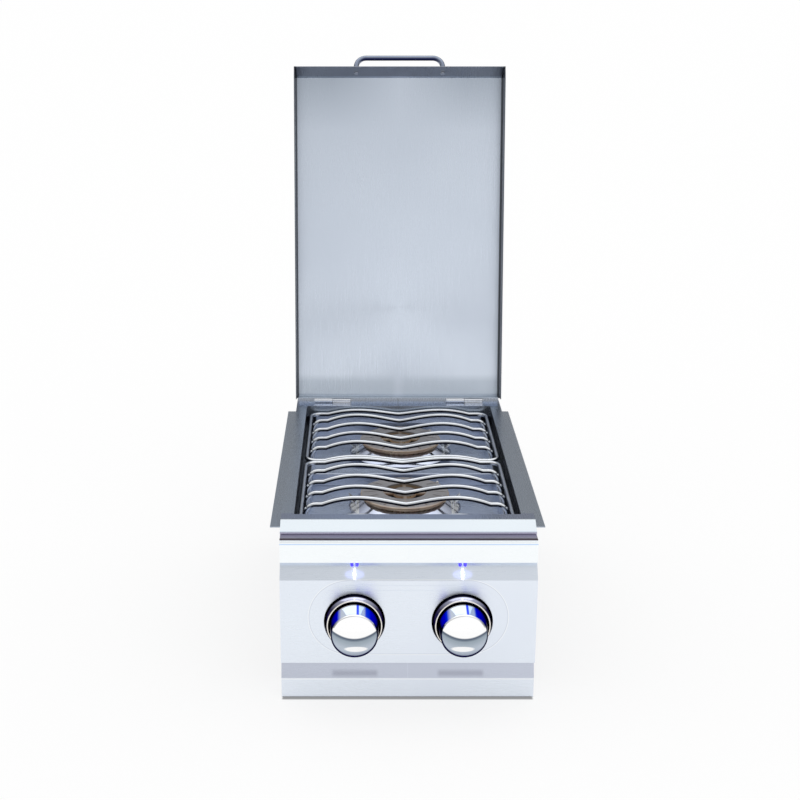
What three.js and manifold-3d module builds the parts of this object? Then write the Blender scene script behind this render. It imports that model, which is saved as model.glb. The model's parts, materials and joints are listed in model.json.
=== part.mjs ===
// A drop-in double side burner for an outdoor kitchen counter, lid open.
// Millimetres, +Z up, +Y towards the back, +X to the right of someone at the knobs.
// Inside the group, z = 0 is the top frame's upper face and y = 0 its front edge.
// The finished group is moved so that its origin is the middle of the firebox underside.

import * as THREE from 'three';
import { mergeVertices } from 'three/addons/utils/BufferGeometryUtils.js';
import Module from 'manifold-3d';

const wasm = await Module();
wasm.setup();

// Sheet metal and clearances
const sheet = 1.2;
const thinSheet = 1;
const seatGap = 0.3;
const screwGap = 0.25;
const runningGap = 0.2;
const overrun = 2;
const bendRadius = 2;
const bendSteps = 3;
const roundSides = 32;
const midSides = 16;
const screwSides = 10;
const hexSides = 6;

// Top frame
const frameWidth = 338;
const frameDepth = 552;
const sideBorder = 17;
const frontBorder = 19;
const rearBorder = 44;
const outerLeg = 14.1;
const innerLeg = 18;
const apronReach = 22;
const apronDrop = 9.7;
const apronLip = 2.7;

// Counter flanges
const flangeReach = 15;
const flangeSheet = 1.5;
const flangeStart = 10;
const flangeEndInset = 28;
const flangeLeg = 26;

// Firebox
const bodyHeight = 237;
const floorSlotLength = 180;
const floorSlotWidth = 14;
const floorSlotSpacing = 110;
const floorSlotCount = 4;
const sideVentLength = 40;
const sideVentHeight = 6;
const sideVentSpacing = 60;
const sideVentCount = 4;
const sideVentDrop = 150;

// Grates: welded rods, four high bars and two low frame bars each
const rodDiameter = 6.5;
const rodSides = 6;
const grateGap = 9;
const grateEndGap = 8;
const grateSideGap = 7.5;
const grateFrameDrop = 12;
const barCount = 4;
const barEndGap = 48.5;
const barCrestRise = 1.5;
const barDipDrop = 8;
const frameBarCrestDrop = 5.5;
const barCrestShare = 0.47;
const barBendInset = 20.5;
const barFootInset = 4.6;
const barFootRound = 8;
const barShoulderDrop = 3;
const archSteps = 4;
const archPower = 1.25;
const railBendSteps = 3;
const cornerCut = 16;

// Burner pan and the bar between the grates
const ledgeDrop = 26.5;
const ledgeWidth = 18;
const endLedgeWidth = 11;
const panFloorDrop = 46;
const grateSupportWidth = 24;

// Burners
const burnerTopDrop = 15;
const ringRadius = 63;
const ringInnerRadius = 31;
const ringBottomRadius = 50;
const ringHeight = 18;
const ringRimHeight = 2.5;
const ringBandHeight = 3.8;
const ringCrown = 1.5;
const ringWall = 7;
const portCount = 18;
const portWidth = 2;
const portDepth = 2.4;
const portInnerRadius = 42;
const portOuterRadius = 60;
const sidePortCount = 48;
const sidePortWidth = 2.2;
const sidePortDepth = 3;
const sidePortTopDrop = 6;
const sidePortHeight = 7;
const capRadius = 17;
const capTopRadius = 15.3;
const capWebHeight = 3.4;
const capRise = 3.4;
const capWebWidth = 5;
const capWebCount = 4;
const baseRadius = 50.5;
const baseShoulderRadius = 56;
const baseShoulderDrop = 3.3;
const baseShoulderHeight = 2;
const baseWall = 3;
const baseDepth = 33;
const baseNeckRadius = 15;
const baseNeckBore = 12;
const baseNeckHeight = 6;
const dishSeatRadius = 56.6;
const dishCrestRadius = 60.5;
const dishCrestRise = 11.5;
const dishEdgeRadius = 77;
const dishEdgeRise = 2;
const dishLipRadius = 79.5;
const earWidth = 24;
const earRootRadius = 65;
const earTipRadius = 80;
const earRise = 12;

// Igniters
const igniterRadius = 4;
const igniterOffset = 70.5;
const igniterAngleShare = 0.25;
const igniterTop = 27;
const igniterBottom = 62;
const igniterWireRadius = 1.2;
const igniterWireRise = 9.5;
const igniterWireBend = 2;
const igniterSparkGap = 4;
const igniterCollar = 7;
const igniterCollarHeight = 3;

// Control panel, named from the top down
const noseReach = 45;
const noseBend = 5;
const noseBottom = 43.1;
const noseUnderside = 8;
const panelReach = 54;
const panelTop = 64.2;
const panelBottom = 182.7;
const lowerRecessReach = 42;
const lowerRecessTop = 184.2;
const stripReach = 49.5;
const stripTop = 208.2;
const stripBottom = 236;
const stripReturn = 14;
const panelSideInset = 0.5;
const fieldOffset = 7.2;
const fieldDrop = 117;
const fieldRadius = 46;
const fieldStepWidth = 7;
const fieldStepHeight = 0.3;
const fieldHeight = 0.6;
const fieldSides = 14;
const panelEndRear = 7;

// Knobs, bezels and lamps
const knobShare = 0.42;
const knobDrop = 122.8;
const bezelRadius = 40.3;
const bezelFrontRadius = 36;
const bezelHeight = 13;
const bezelFloor = 2;
const bezelRound = 0.7;
const knobSkirtRadius = 33.3;
const knobFaceRadius = 28.8;
const knobSkirtHeight = 1.5;
const knobBodyLength = 34;
const knobDome = 8;
const knobEdge = 1.4;
const knobWall = 2.5;
const knobHubRadius = 8;
const knobHubBack = 1;
const domeSteps = 3;
const pushTravel = 4;
const pushSpare = 0.5;
const lampSpacing = 6.5;
const lampRadius = 2.2;
const lampHang = 3.4;
const lampHolderLength = 15;
const lampHolderWidth = 6;
const lampHolderHeight = 2;

// Gas train
const valveRadius = 13;
const valveLength = 40;
const valveBossRadius = 8.5;
const valveBossLength = 4;
const plugRadius = 7;
const plugTaper = 0.8;
const plugLength = 30;
const stemRadius = 3;
const stemDepth = 22;
const stemFlat = 0.8;
const stemHoleRadius = 6.5;
const jetHexRadius = 6.5;
const jetHexLength = 6;
const jetRadius = 4;
const jetTipRadius = 2.8;
const jetLength = 22;
const jetBore = 1;
const pipeRadius = 10;
const pipeWall = 1.6;
const pipeDrop = 26;
const pipeOffset = 22;
const pipeLeftInset = 68.5;
const pipeRightInset = 22.5;
const pipeBendRadius = 22;
const pipeBendSteps = 4;
const pipeEndDrop = 204;
const spigotRadius = 7;
const plugNutRadius = 13;
const plugNutLength = 9;
const plugSpigotLength = 8;
const inletHexRadius = 15;
const inletHexLength = 12;
const inletNippleRadius = 10.5;
const inletNippleLength = 14;
const inletBore = 6.5;
const shieldStandOff = 9;
const shieldInset = 34.5;
const shieldRise = 34;
const shieldFall = 12;
const shieldFoot = 9;
const shieldHoleRadius = 9;
const wallHoleRadius = 9;
const venturiRadius = 13;
const venturiWall = 1.5;
const venturiSides = 10;
const venturiSlant = 75;
const venturiBend = 28;
const venturiBendSteps = 3;

// Lid, drawn closed
const lidRise = 26;
const lidFlangeDrop = 10;
const lidSideGap = 0.3;
const lidFrontReach = 19;
const lidFrontDrop = 6;
const lidBevelTopReach = 3.5;
const lidRearFoot = 2.3;
const openAngle = 98.5;

// Hinges
const hingeInset = 26;
const hingeRise = 4.2;
const hingeRadius = 3.6;
const hingePinRadius = 1.6;
const hingeSideInset = 59;
const knuckleLength = 30;
const knuckleGap = 0.4;
const hingeWebWidth = 5;
const hingeLeaf = 1.6;
const lidStopWidth = 3;
const hingeLeafHeight = 18;
const hingeBaseFront = 7;
const hingeBaseRear = 15;
const pinHeadRadius = 2.8;
const pinHeadLength = 1.5;

// Handle, on the lid's sloping front
const handleHalfWidth = 70;
const handleStandOff = 25.3;
const handleRadius = 4.2;
const handleBend = 16;
const handleBendSteps = 4;
const handleBoreDepth = 9;

// Screws
const screwHeadRadius = 3.6;
const screwHeadHeight = 2;
const screwShankRadius = 1.9;
const screwTail = 7;
const flangeScrewInset = 60;
const flangeScrewDrop = 19;

// Worked out from the sizes above
const hingeBack = frameDepth - hingeInset;
const hingeX = frameWidth / 2 - hingeSideInset;
const flangeLength = frameDepth - flangeStart - flangeEndInset;
const panelHalfWidth = frameWidth / 2 - panelSideInset;
const knobX = panelHalfWidth * knobShare;
const fieldX = knobX + fieldOffset;
const pipeLeftEnd = panelHalfWidth - pipeLeftInset;
const pipeRightBend = panelHalfWidth - pipeRightInset;
const shieldHalfLength = panelHalfWidth - shieldInset;
const openingHalf = frameWidth / 2 - sideBorder;
const openingFront = frontBorder;
const openingRear = frameDepth - rearBorder;
const wallInner = openingHalf + sheet + seatGap;
const wallOuter = wallInner + sheet;
const frontWallRear = openingFront - sheet - seatGap;
const frontWallFront = frontWallRear - sheet;
const rearWallFront = openingRear + sheet + seatGap;
const rearWallRear = rearWallFront + sheet;
const flangeTop = -(outerLeg + seatGap);
const openingMid = (openingFront + openingRear) / 2;
const grateHalfWidth = openingHalf - grateSideGap;
const grateLength = openingMid - openingFront - grateGap / 2 - grateEndGap;
const barSpacing = (grateLength - 2 * barEndGap) / (barCount - 1);
const barCrestX = grateHalfWidth * barCrestShare;
const barBendX = grateHalfWidth - barBendInset;
const frontGrateStart = openingMid - grateGap / 2 - grateLength;
const rearGrateStart = openingMid + grateGap / 2;
const frontBurnerY = frontGrateStart + grateLength / 2;
const rearBurnerY = rearGrateStart + grateLength / 2;
const ringBottom = -(burnerTopDrop + ringHeight);
const baseTop = ringBottom - seatGap;
const shoulderTop = baseTop - baseShoulderDrop;
const baseBottom = baseTop - baseDepth;
const ledgeTop = -(apronDrop + apronLip + seatGap);
const panelBack = -(panelReach - sheet);
const bezelBase = -(panelReach + fieldHeight + seatGap);
const knobBack = bezelBase - bezelFloor - pushTravel - pushSpare;
const valveFront = panelBack + seatGap;
const valveRear = valveFront + valveLength;
const lidHalf = frameWidth / 2 + lidSideGap + sheet;
const lidRear = hingeBack - hingeRadius - seatGap / 2;

// Finishes
function finish(color, roughness, metalness) {
  return new THREE.MeshStandardMaterial({ color, roughness, metalness });
}
const brushedSteel = () => finish(0xb9c0ca, 0.34, 1);
const paleSteel = () => finish(0xe4e8ee, 0.38, 1);
const panSteel = () => finish(0x8f98a6, 0.42, 1);
const polishedSteel = () => finish(0xc9ced6, 0.12, 1);
const chrome = () => finish(0xe8ebf0, 0.06, 1);
const galvanised = () => finish(0x9aa0a6, 0.55, 1);
const brass = () => finish(0xa98a52, 0.36, 1);
const castIron = () => finish(0x55565a, 0.7, 1);
const lampBlue = () => finish(0x2a3cff, 0.2, 0);
const ceramic = () => finish(0xf1efe8, 0.45, 0);
const zincScrew = () => finish(0xa7abb2, 0.3, 1);

// Turns a geometry into a solid that can be joined and cut
function toSolid(geometry) {
  const bare = geometry.index ? geometry.toNonIndexed() : geometry.clone();
  for (const name of Object.keys(bare.attributes)) {
    if (name !== 'position') bare.deleteAttribute(name);
  }
  const merged = mergeVertices(bare);
  const corners = merged.index.array;
  const kept = [];
  for (let i = 0; i < corners.length; i += 3) {
    const [a, b, c] = [corners[i], corners[i + 1], corners[i + 2]];
    if (a !== b && b !== c && c !== a) kept.push(a, b, c);
  }
  return new wasm.Manifold(new wasm.Mesh({
    numProp: 3,
    vertProperties: new Float32Array(merged.attributes.position.array),
    triVerts: new Uint32Array(kept),
  }));
}

function toGeometry(solid) {
  const mesh = solid.getMesh();
  const geometry = new THREE.BufferGeometry();
  geometry.setAttribute('position', new THREE.BufferAttribute(mesh.vertProperties, 3));
  geometry.setIndex(new THREE.BufferAttribute(mesh.triVerts, 1));
  const flat = geometry.toNonIndexed();
  flat.computeVertexNormals();
  return flat;
}

const point = (x, y, z) => new THREE.Vector3(x, y, z);
const joinAll = (solids) => solids.reduce((whole, next) => whole.add(next));
const cutAll = (solid, cutters) => cutters.reduce((whole, next) => whole.subtract(next), solid);

// Simple solids
function block([x0, x1], [y0, y1], [z0, z1]) {
  const geometry = new THREE.BoxGeometry(x1 - x0, y1 - y0, z1 - z0);
  geometry.translate((x0 + x1) / 2, (y0 + y1) / 2, (z0 + z1) / 2);
  return toSolid(geometry);
}

const direction = {
  x: new THREE.Vector3(1, 0, 0),
  y: new THREE.Vector3(0, 1, 0),
  z: new THREE.Vector3(0, 0, 1),
};

// A round or six-sided bar from one point along an axis
function bar(radius, start, axis, length, faces = roundSides, endRadius = radius) {
  const geometry = new THREE.CylinderGeometry(endRadius, radius, length, faces);
  geometry.translate(0, length / 2, 0);
  geometry.applyQuaternion(new THREE.Quaternion().setFromUnitVectors(direction.y, direction[axis]));
  geometry.translate(...start);
  return toSolid(geometry);
}

// A turned piece about the line through centre along +z, or along -y when facing the front
function turned(profile, centre, faces = roundSides, facesFront = false) {
  const points = profile.map(([radius, height]) => new THREE.Vector2(radius, height));
  if (THREE.ShapeUtils.area(points) < 0) points.reverse();
  points.push(points[0].clone());
  const geometry = new THREE.LatheGeometry(points, faces);
  geometry.rotateX(facesFront ? Math.PI : Math.PI / 2);
  geometry.translate(...centre);
  return toSolid(geometry);
}

// An outline in y and z, pulled along x
function pulledX(outline, x0, x1) {
  const shape = new THREE.Shape(outline.map(([y, z]) => new THREE.Vector2(y, z)));
  const geometry = new THREE.ExtrudeGeometry(shape, { depth: x1 - x0, bevelEnabled: false, steps: 1 });
  geometry.applyMatrix4(new THREE.Matrix4().makeBasis(direction.y, direction.z, direction.x));
  geometry.translate(x0, 0, 0);
  return toSolid(geometry);
}

// An outline in x and z, pulled from y1 back to y0
function pulledY(outline, y0, y1) {
  const shape = new THREE.Shape(outline.map(([x, z]) => new THREE.Vector2(x, z)));
  const geometry = new THREE.ExtrudeGeometry(shape, { depth: y1 - y0, bevelEnabled: false, steps: 1 });
  const towardsFront = direction.y.clone().negate();
  geometry.applyMatrix4(new THREE.Matrix4().makeBasis(direction.x, direction.z, towardsFront));
  geometry.translate(0, y1, 0);
  return toSolid(geometry);
}

// Rounds the inner corners of a path of [y, z] points
function roundedPath(corners, radii) {
  const path = [];
  corners.forEach(([y, z], i) => {
    const corner = new THREE.Vector2(y, z);
    const radius = radii[i] ?? 0;
    if (radius === 0) {
      path.push(corner);
      return;
    }
    const inward = corner.clone().sub(new THREE.Vector2(...corners[i - 1])).normalize();
    const outward = new THREE.Vector2(...corners[i + 1]).sub(corner).normalize();
    const turn = Math.atan2(inward.cross(outward), inward.dot(outward));
    const start = corner.clone().addScaledVector(inward, -radius * Math.tan(Math.abs(turn) / 2));
    const side = new THREE.Vector2(-inward.y, inward.x).multiplyScalar(Math.sign(turn) * radius);
    const centre = start.clone().add(side);
    for (let step = 0; step <= bendSteps; step += 1) {
      path.push(start.clone().rotateAround(centre, (turn * step) / bendSteps));
    }
  });
  return path;
}

// A path moved sideways to its left by a distance, with its corners kept sharp
function movedPath(path, distance) {
  return path.map((here, i) => {
    const last = path.length - 1;
    const inward = here.clone().sub(path[Math.max(i - 1, 0)]);
    const outward = path[Math.min(i + 1, last)].clone().sub(here);
    if (i === 0) inward.copy(outward);
    if (i === last) outward.copy(inward);
    inward.normalize();
    const along = inward.clone().add(outward.normalize()).normalize();
    const normal = new THREE.Vector2(-along.y, along.x);
    return here.clone().addScaledVector(normal, distance / along.dot(inward));
  });
}

const pairs = (path) => path.map((corner) => [corner.x, corner.y]);

// The outline of a folded sheet: the path, and back along the path moved to its left
function foldedOutline(corners, radii, thickness) {
  const path = roundedPath(corners, radii);
  return pairs([...path, ...movedPath(path, thickness).reverse()]);
}

// A curve that goes through its samples one by one, so that a sweep puts a ring at each
class SampledCurve extends THREE.Curve {
  constructor(samples) {
    super();
    this.samples = samples;
  }

  getPointAt(share, target = new THREE.Vector3()) {
    const last = this.samples.length - 1;
    return target.copy(this.samples[Math.round(share * last)]);
  }

  getTangentAt(share, target = new THREE.Vector3()) {
    const last = this.samples.length - 1;
    const i = Math.round(share * last);
    const before = this.samples[Math.max(i - 1, 0)];
    const after = this.samples[Math.min(i + 1, last)];
    const here = this.samples[i];
    const inward = i > 0 ? here.clone().sub(before).normalize() : new THREE.Vector3();
    const outward = i < last ? after.clone().sub(here).normalize() : new THREE.Vector3();
    return target.copy(inward.add(outward).normalize());
  }
}

// A bent line in space: straight runs between corners, each corner rounded
function bentLine(corners, radius, steps = bendSteps) {
  const samples = [];
  corners.forEach((corner, i) => {
    if (i === 0 || i === corners.length - 1) {
      samples.push(corner.clone());
      return;
    }
    const inward = corner.clone().sub(corners[i - 1]).normalize();
    const outward = corners[i + 1].clone().sub(corner).normalize();
    const turn = inward.angleTo(outward);
    const start = corner.clone().addScaledVector(inward, -radius * Math.tan(turn / 2));
    const side = outward.clone().addScaledVector(inward, -outward.dot(inward)).normalize();
    for (let step = 0; step <= steps; step += 1) {
      const angle = (turn * step) / steps;
      samples.push(start.clone()
        .addScaledVector(inward, radius * Math.sin(angle))
        .addScaledVector(side, radius * (1 - Math.cos(angle))));
    }
  });
  return samples;
}

// A rod, or a tube where there is a bore, that follows the samples
function swept(samples, radius, rodFaces, bore = 0) {
  const shape = new THREE.Shape();
  shape.absarc(0, 0, radius, 0, Math.PI * 2);
  if (bore > 0) {
    const hole = new THREE.Path();
    hole.absarc(0, 0, bore, 0, Math.PI * 2, true);
    shape.holes.push(hole);
  }
  return toSolid(new THREE.ExtrudeGeometry(shape, {
    steps: samples.length - 1,
    extrudePath: new SampledCurve(samples),
    bevelEnabled: false,
    curveSegments: rodFaces / 2,
  }));
}

// The scene graph: what stands still, and what turns with the lid
const burner = new THREE.Group();
burner.position.set(0, -(frontWallFront + rearWallRear) / 2, bodyHeight);
const lid = new THREE.Group();
lid.position.set(0, hingeBack, hingeRise);
lid.rotation.x = -THREE.MathUtils.degToRad(openAngle);
burner.add(lid);

function addPiece(name, solid, material, parent = burner) {
  const mesh = new THREE.Mesh(toGeometry(solid), material);
  mesh.name = name;
  parent.add(mesh);
  return mesh;
}

// Lid pieces are drawn where they lie when closed, then hung on the hinge line
function addLidPiece(name, solid, material) {
  const mesh = addPiece(name, solid, material, lid);
  mesh.position.set(0, -hingeBack, -hingeRise);
  return mesh;
}

const sides = [['left', -1], ['right', 1]];

// Top frame: a ring with inner and outer legs, and the sloping apron at the front
function makeTopFrame() {
  const half = frameWidth / 2;
  const plate = block([-half, half], [0, frameDepth], [-sheet, 0]);
  const skirt = block([-half, half], [frontWallFront, frameDepth], [-outerLeg, -sheet / 2])
    .subtract(block([-half + sheet, half - sheet], [0, frameDepth - sheet], [-outerLeg - overrun, 0]));
  const collar = block(
    [-openingHalf - sheet, openingHalf + sheet],
    [openingFront - sheet, openingRear + sheet],
    [-innerLeg, -sheet / 2],
  );
  const opening = block(
    [-openingHalf, openingHalf],
    [openingFront, openingRear],
    [-innerLeg - overrun, overrun],
  );
  const apron = foldedOutline(
    [[sheet, 0], [0, 0], [-apronReach, -apronDrop], [-apronReach, -apronDrop - apronLip]],
    [0, bendRadius, bendRadius, 0],
    sheet,
  );
  const apronSolid = pulledX(apron, -half, half);
  addPiece('top_frame', joinAll([plate, skirt, collar, apronSolid]).subtract(opening), brushedSteel());
}

// Counter flanges: the strips that carry the burner on the counter
function makeCounterFlanges() {
  const inner = wallOuter + seatGap;
  const outer = frameWidth / 2 + flangeReach;
  const screwZ = flangeTop - flangeScrewDrop;
  for (const [name, side] of sides) {
    const span = (a, b) => (side > 0 ? [a, b] : [-b, -a]);
    const length = [flangeStart, flangeStart + flangeLength];
    const shelf = block(span(inner, outer), length, [flangeTop - flangeSheet, flangeTop]);
    const leg = block(
      span(inner, inner + flangeSheet),
      length,
      [flangeTop - flangeLeg, flangeTop - flangeSheet / 2],
    );
    const places = [flangeStart + flangeScrewInset, flangeStart + flangeLength - flangeScrewInset];
    const holes = places.map((y) => bar(
      screwShankRadius + screwGap,
      [side * (inner - overrun) - (side < 0 ? 2 * overrun + flangeSheet : 0), y, screwZ],
      'x',
      2 * overrun + flangeSheet,
      screwSides,
    ));
    addPiece(`${name}_counter_flange`, cutAll(shelf.add(leg), holes), brushedSteel());
    places.forEach((y, i) => {
      const headStart = inner + flangeSheet + seatGap;
      const start = side > 0 ? headStart : -headStart - screwHeadHeight;
      const head = bar(screwHeadRadius, [start, y, screwZ], 'x', screwHeadHeight, screwSides);
      const shankEnd = wallInner - screwTail;
      const shankStart = side > 0 ? shankEnd : -headStart - screwHeadHeight / 2;
      const shank = bar(
        screwShankRadius,
        [shankStart, y, screwZ],
        'x',
        headStart + screwHeadHeight / 2 - shankEnd,
        screwSides,
      );
      const place = i === 0 ? 'front' : 'rear';
      addPiece(`${name}_flange_screw_${place}`, head.add(shank), zincScrew());
    });
  }
}

// Firebox: a U of sheet for the sides and floor, closed by a front and a rear wall
function makeFirebox() {
  const top = -sheet - seatGap;
  const length = [frontWallFront, rearWallRear];
  const middle = (frontWallFront + rearWallRear) / 2;
  const outside = block([-wallOuter, wallOuter], length, [-bodyHeight, top]);
  const inside = block(
    [-wallInner, wallInner],
    [length[0] - overrun, length[1] + overrun],
    [-bodyHeight + sheet, top + overrun],
  );
  const slots = [];
  for (let i = 0; i < floorSlotCount; i += 1) {
    const y = middle + (i - (floorSlotCount - 1) / 2) * floorSlotSpacing;
    slots.push(block(
      [-floorSlotLength / 2, floorSlotLength / 2],
      [y - floorSlotWidth / 2, y + floorSlotWidth / 2],
      [-bodyHeight - overrun, -bodyHeight + sheet + overrun],
    ));
  }
  for (let i = 0; i < sideVentCount; i += 1) {
    const y = middle + (i - (sideVentCount - 1) / 2) * sideVentSpacing;
    slots.push(block(
      [-wallOuter - overrun, wallOuter + overrun],
      [y - sideVentLength / 2, y + sideVentLength / 2],
      [-sideVentDrop - sideVentHeight, -sideVentDrop],
    ));
  }
  const screwZ = flangeTop - flangeScrewDrop;
  for (const y of [flangeStart + flangeScrewInset, flangeStart + flangeLength - flangeScrewInset]) {
    slots.push(bar(
      screwShankRadius + screwGap,
      [-wallOuter - overrun, y, screwZ],
      'x',
      2 * (wallOuter + overrun),
      screwSides,
    ));
  }
  addPiece('firebox_wrap', cutAll(outside.subtract(inside), slots), galvanised());

  const wallSpan = [-wallInner + seatGap, wallInner - seatGap];
  const wallHeight = [-bodyHeight + sheet + seatGap, top];
  const frontWall = block(wallSpan, [frontWallFront, frontWallRear], wallHeight);
  const ports = sides.map(([, side]) => bar(
    wallHoleRadius,
    [side * knobX, frontWallFront - overrun, -knobDrop],
    'y',
    sheet + 2 * overrun,
    midSides,
  ));
  addPiece('firebox_front_wall', cutAll(frontWall, ports), galvanised());
  const rearWall = block(wallSpan, [rearWallFront, rearWallRear], wallHeight);
  const vents = [];
  for (let i = 0; i < sideVentCount; i += 1) {
    const x = (i - (sideVentCount - 1) / 2) * sideVentSpacing;
    vents.push(block(
      [x - sideVentLength / 2, x + sideVentLength / 2],
      [rearWallFront - overrun, rearWallRear + overrun],
      [-sideVentDrop - sideVentHeight, -sideVentDrop],
    ));
  }
  addPiece('firebox_rear_wall', cutAll(rearWall, vents), galvanised());
}

// Burner pan: a tray with a ledge all round for the grates' feet
function makeBurnerPan() {
  const outX = wallInner - seatGap;
  const outFront = frontWallRear + seatGap;
  const outRear = rearWallFront - seatGap;
  const ring = (inset, insetY, thick, thickY, low, high) => block(
    [-outX + inset, outX - inset],
    [outFront + insetY, outRear - insetY],
    [low, high],
  ).subtract(block(
    [-outX + inset + thick, outX - inset - thick],
    [outFront + insetY + thickY, outRear - insetY - thickY],
    [low - overrun, high + overrun],
  ));
  const lip = ring(0, 0, thinSheet, thinSheet, -ledgeDrop - thinSheet, -innerLeg - seatGap);
  const ledge = ring(0, 0, ledgeWidth, endLedgeWidth, -ledgeDrop - thinSheet, -ledgeDrop);
  const wall = ring(
    ledgeWidth - thinSheet,
    endLedgeWidth - thinSheet,
    thinSheet,
    thinSheet,
    -panFloorDrop - thinSheet,
    -ledgeDrop - thinSheet / 2,
  );
  const floor = block(
    [-outX + ledgeWidth - thinSheet, outX - ledgeWidth + thinSheet],
    [outFront + endLedgeWidth - thinSheet, outRear - endLedgeWidth + thinSheet],
    [-panFloorDrop - thinSheet, -panFloorDrop],
  );
  const holes = [];
  for (const y of [frontBurnerY, rearBurnerY]) {
    holes.push(bar(
      baseOuterAt(-panFloorDrop) + seatGap,
      [0, y, -panFloorDrop - thinSheet - overrun],
      'z',
      thinSheet + 2 * overrun,
    ));
    const [x, dy] = igniterPlace();
    holes.push(bar(
      igniterRadius + seatGap,
      [x, y + dy, -panFloorDrop - thinSheet - overrun],
      'z',
      thinSheet + 2 * overrun,
      screwSides,
    ));
  }
  addPiece('burner_pan', cutAll(joinAll([lip, ledge, wall, floor]), holes), panSteel());

  const supportHalf = outX - ledgeWidth - seatGap;
  const support = foldedOutline(
    [
      [openingMid + grateSupportWidth / 2, -panFloorDrop + seatGap],
      [openingMid + grateSupportWidth / 2, -ledgeDrop],
      [openingMid - grateSupportWidth / 2, -ledgeDrop],
      [openingMid - grateSupportWidth / 2, -panFloorDrop + seatGap],
    ],
    [0, bendRadius, bendRadius, 0],
    thinSheet,
  );
  addPiece('grate_support', pulledX(support, -supportHalf, supportHalf), panSteel());
}

// One bar of a grate: two arches that meet in a dip, then a foot at each end or none
function makeBar(y, crest, dip, foot) {
  const half = [];
  const rise = crest - dip;
  for (let i = 0; i <= archSteps; i += 1) {
    const share = i / archSteps;
    half.push(point(barCrestX * share, y, dip + rise * Math.sin((share * Math.PI) / 2) ** archPower));
  }
  for (let i = 1; i <= archSteps; i += 1) {
    const share = i / archSteps;
    half.push(point(barCrestX + (barBendX - barCrestX) * share, y, crest - rise * share ** 2));
  }
  if (foot === undefined) {
    half.push(point(grateHalfWidth - cornerCut, y, dip));
  } else {
    const footX = grateHalfWidth - barFootInset;
    const bend = bentLine(
      [half[half.length - 1], point(footX, y, dip - barShoulderDrop), point(footX, y, foot)],
      barFootRound,
    );
    half.push(...bend.slice(1));
  }
  const left = half.slice(1).reverse().map((p) => point(-p.x, p.y, p.z));
  return [...left, ...half];
}

function makeGrates() {
  const radius = rodDiameter / 2;
  for (const [name, start] of [['front', frontGrateStart], ['rear', rearGrateStart]]) {
    const rods = [];
    const end = start + grateLength;
    for (const [, side] of sides) {
      const x = side * grateHalfWidth;
      const inX = x - side * (cornerCut + rodDiameter);
      const rail = bentLine(
        [
          point(inX, start, -grateFrameDrop),
          point(x, start, -grateFrameDrop),
          point(x, end, -grateFrameDrop),
          point(inX, end, -grateFrameDrop),
        ],
        cornerCut,
        railBendSteps,
      );
      rods.push(swept(rail, radius, rodSides));
    }
    for (const y of [start, end]) {
      rods.push(swept(makeBar(y, -frameBarCrestDrop, -grateFrameDrop), radius, rodSides));
    }
    for (let i = 0; i < barCount; i += 1) {
      const y = start + grateLength / 2 + (i - (barCount - 1) / 2) * barSpacing;
      const bar = makeBar(y, barCrestRise, -barDipDrop, -ledgeDrop + seatGap);
      rods.push(swept(bar, radius, rodSides));
    }
    addPiece(`${name}_grate`, joinAll(rods), polishedSteel());
  }
}

// Burners
function baseOuterAt(z) {
  const top = shoulderTop - baseShoulderHeight;
  const share = (top - z) / (top - baseBottom);
  return baseRadius + (baseNeckRadius - baseRadius) * Math.max(share, 0);
}

function igniterPlace() {
  const angle = Math.PI * igniterAngleShare;
  return [igniterOffset * Math.cos(angle), igniterOffset * Math.sin(angle)];
}

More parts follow.
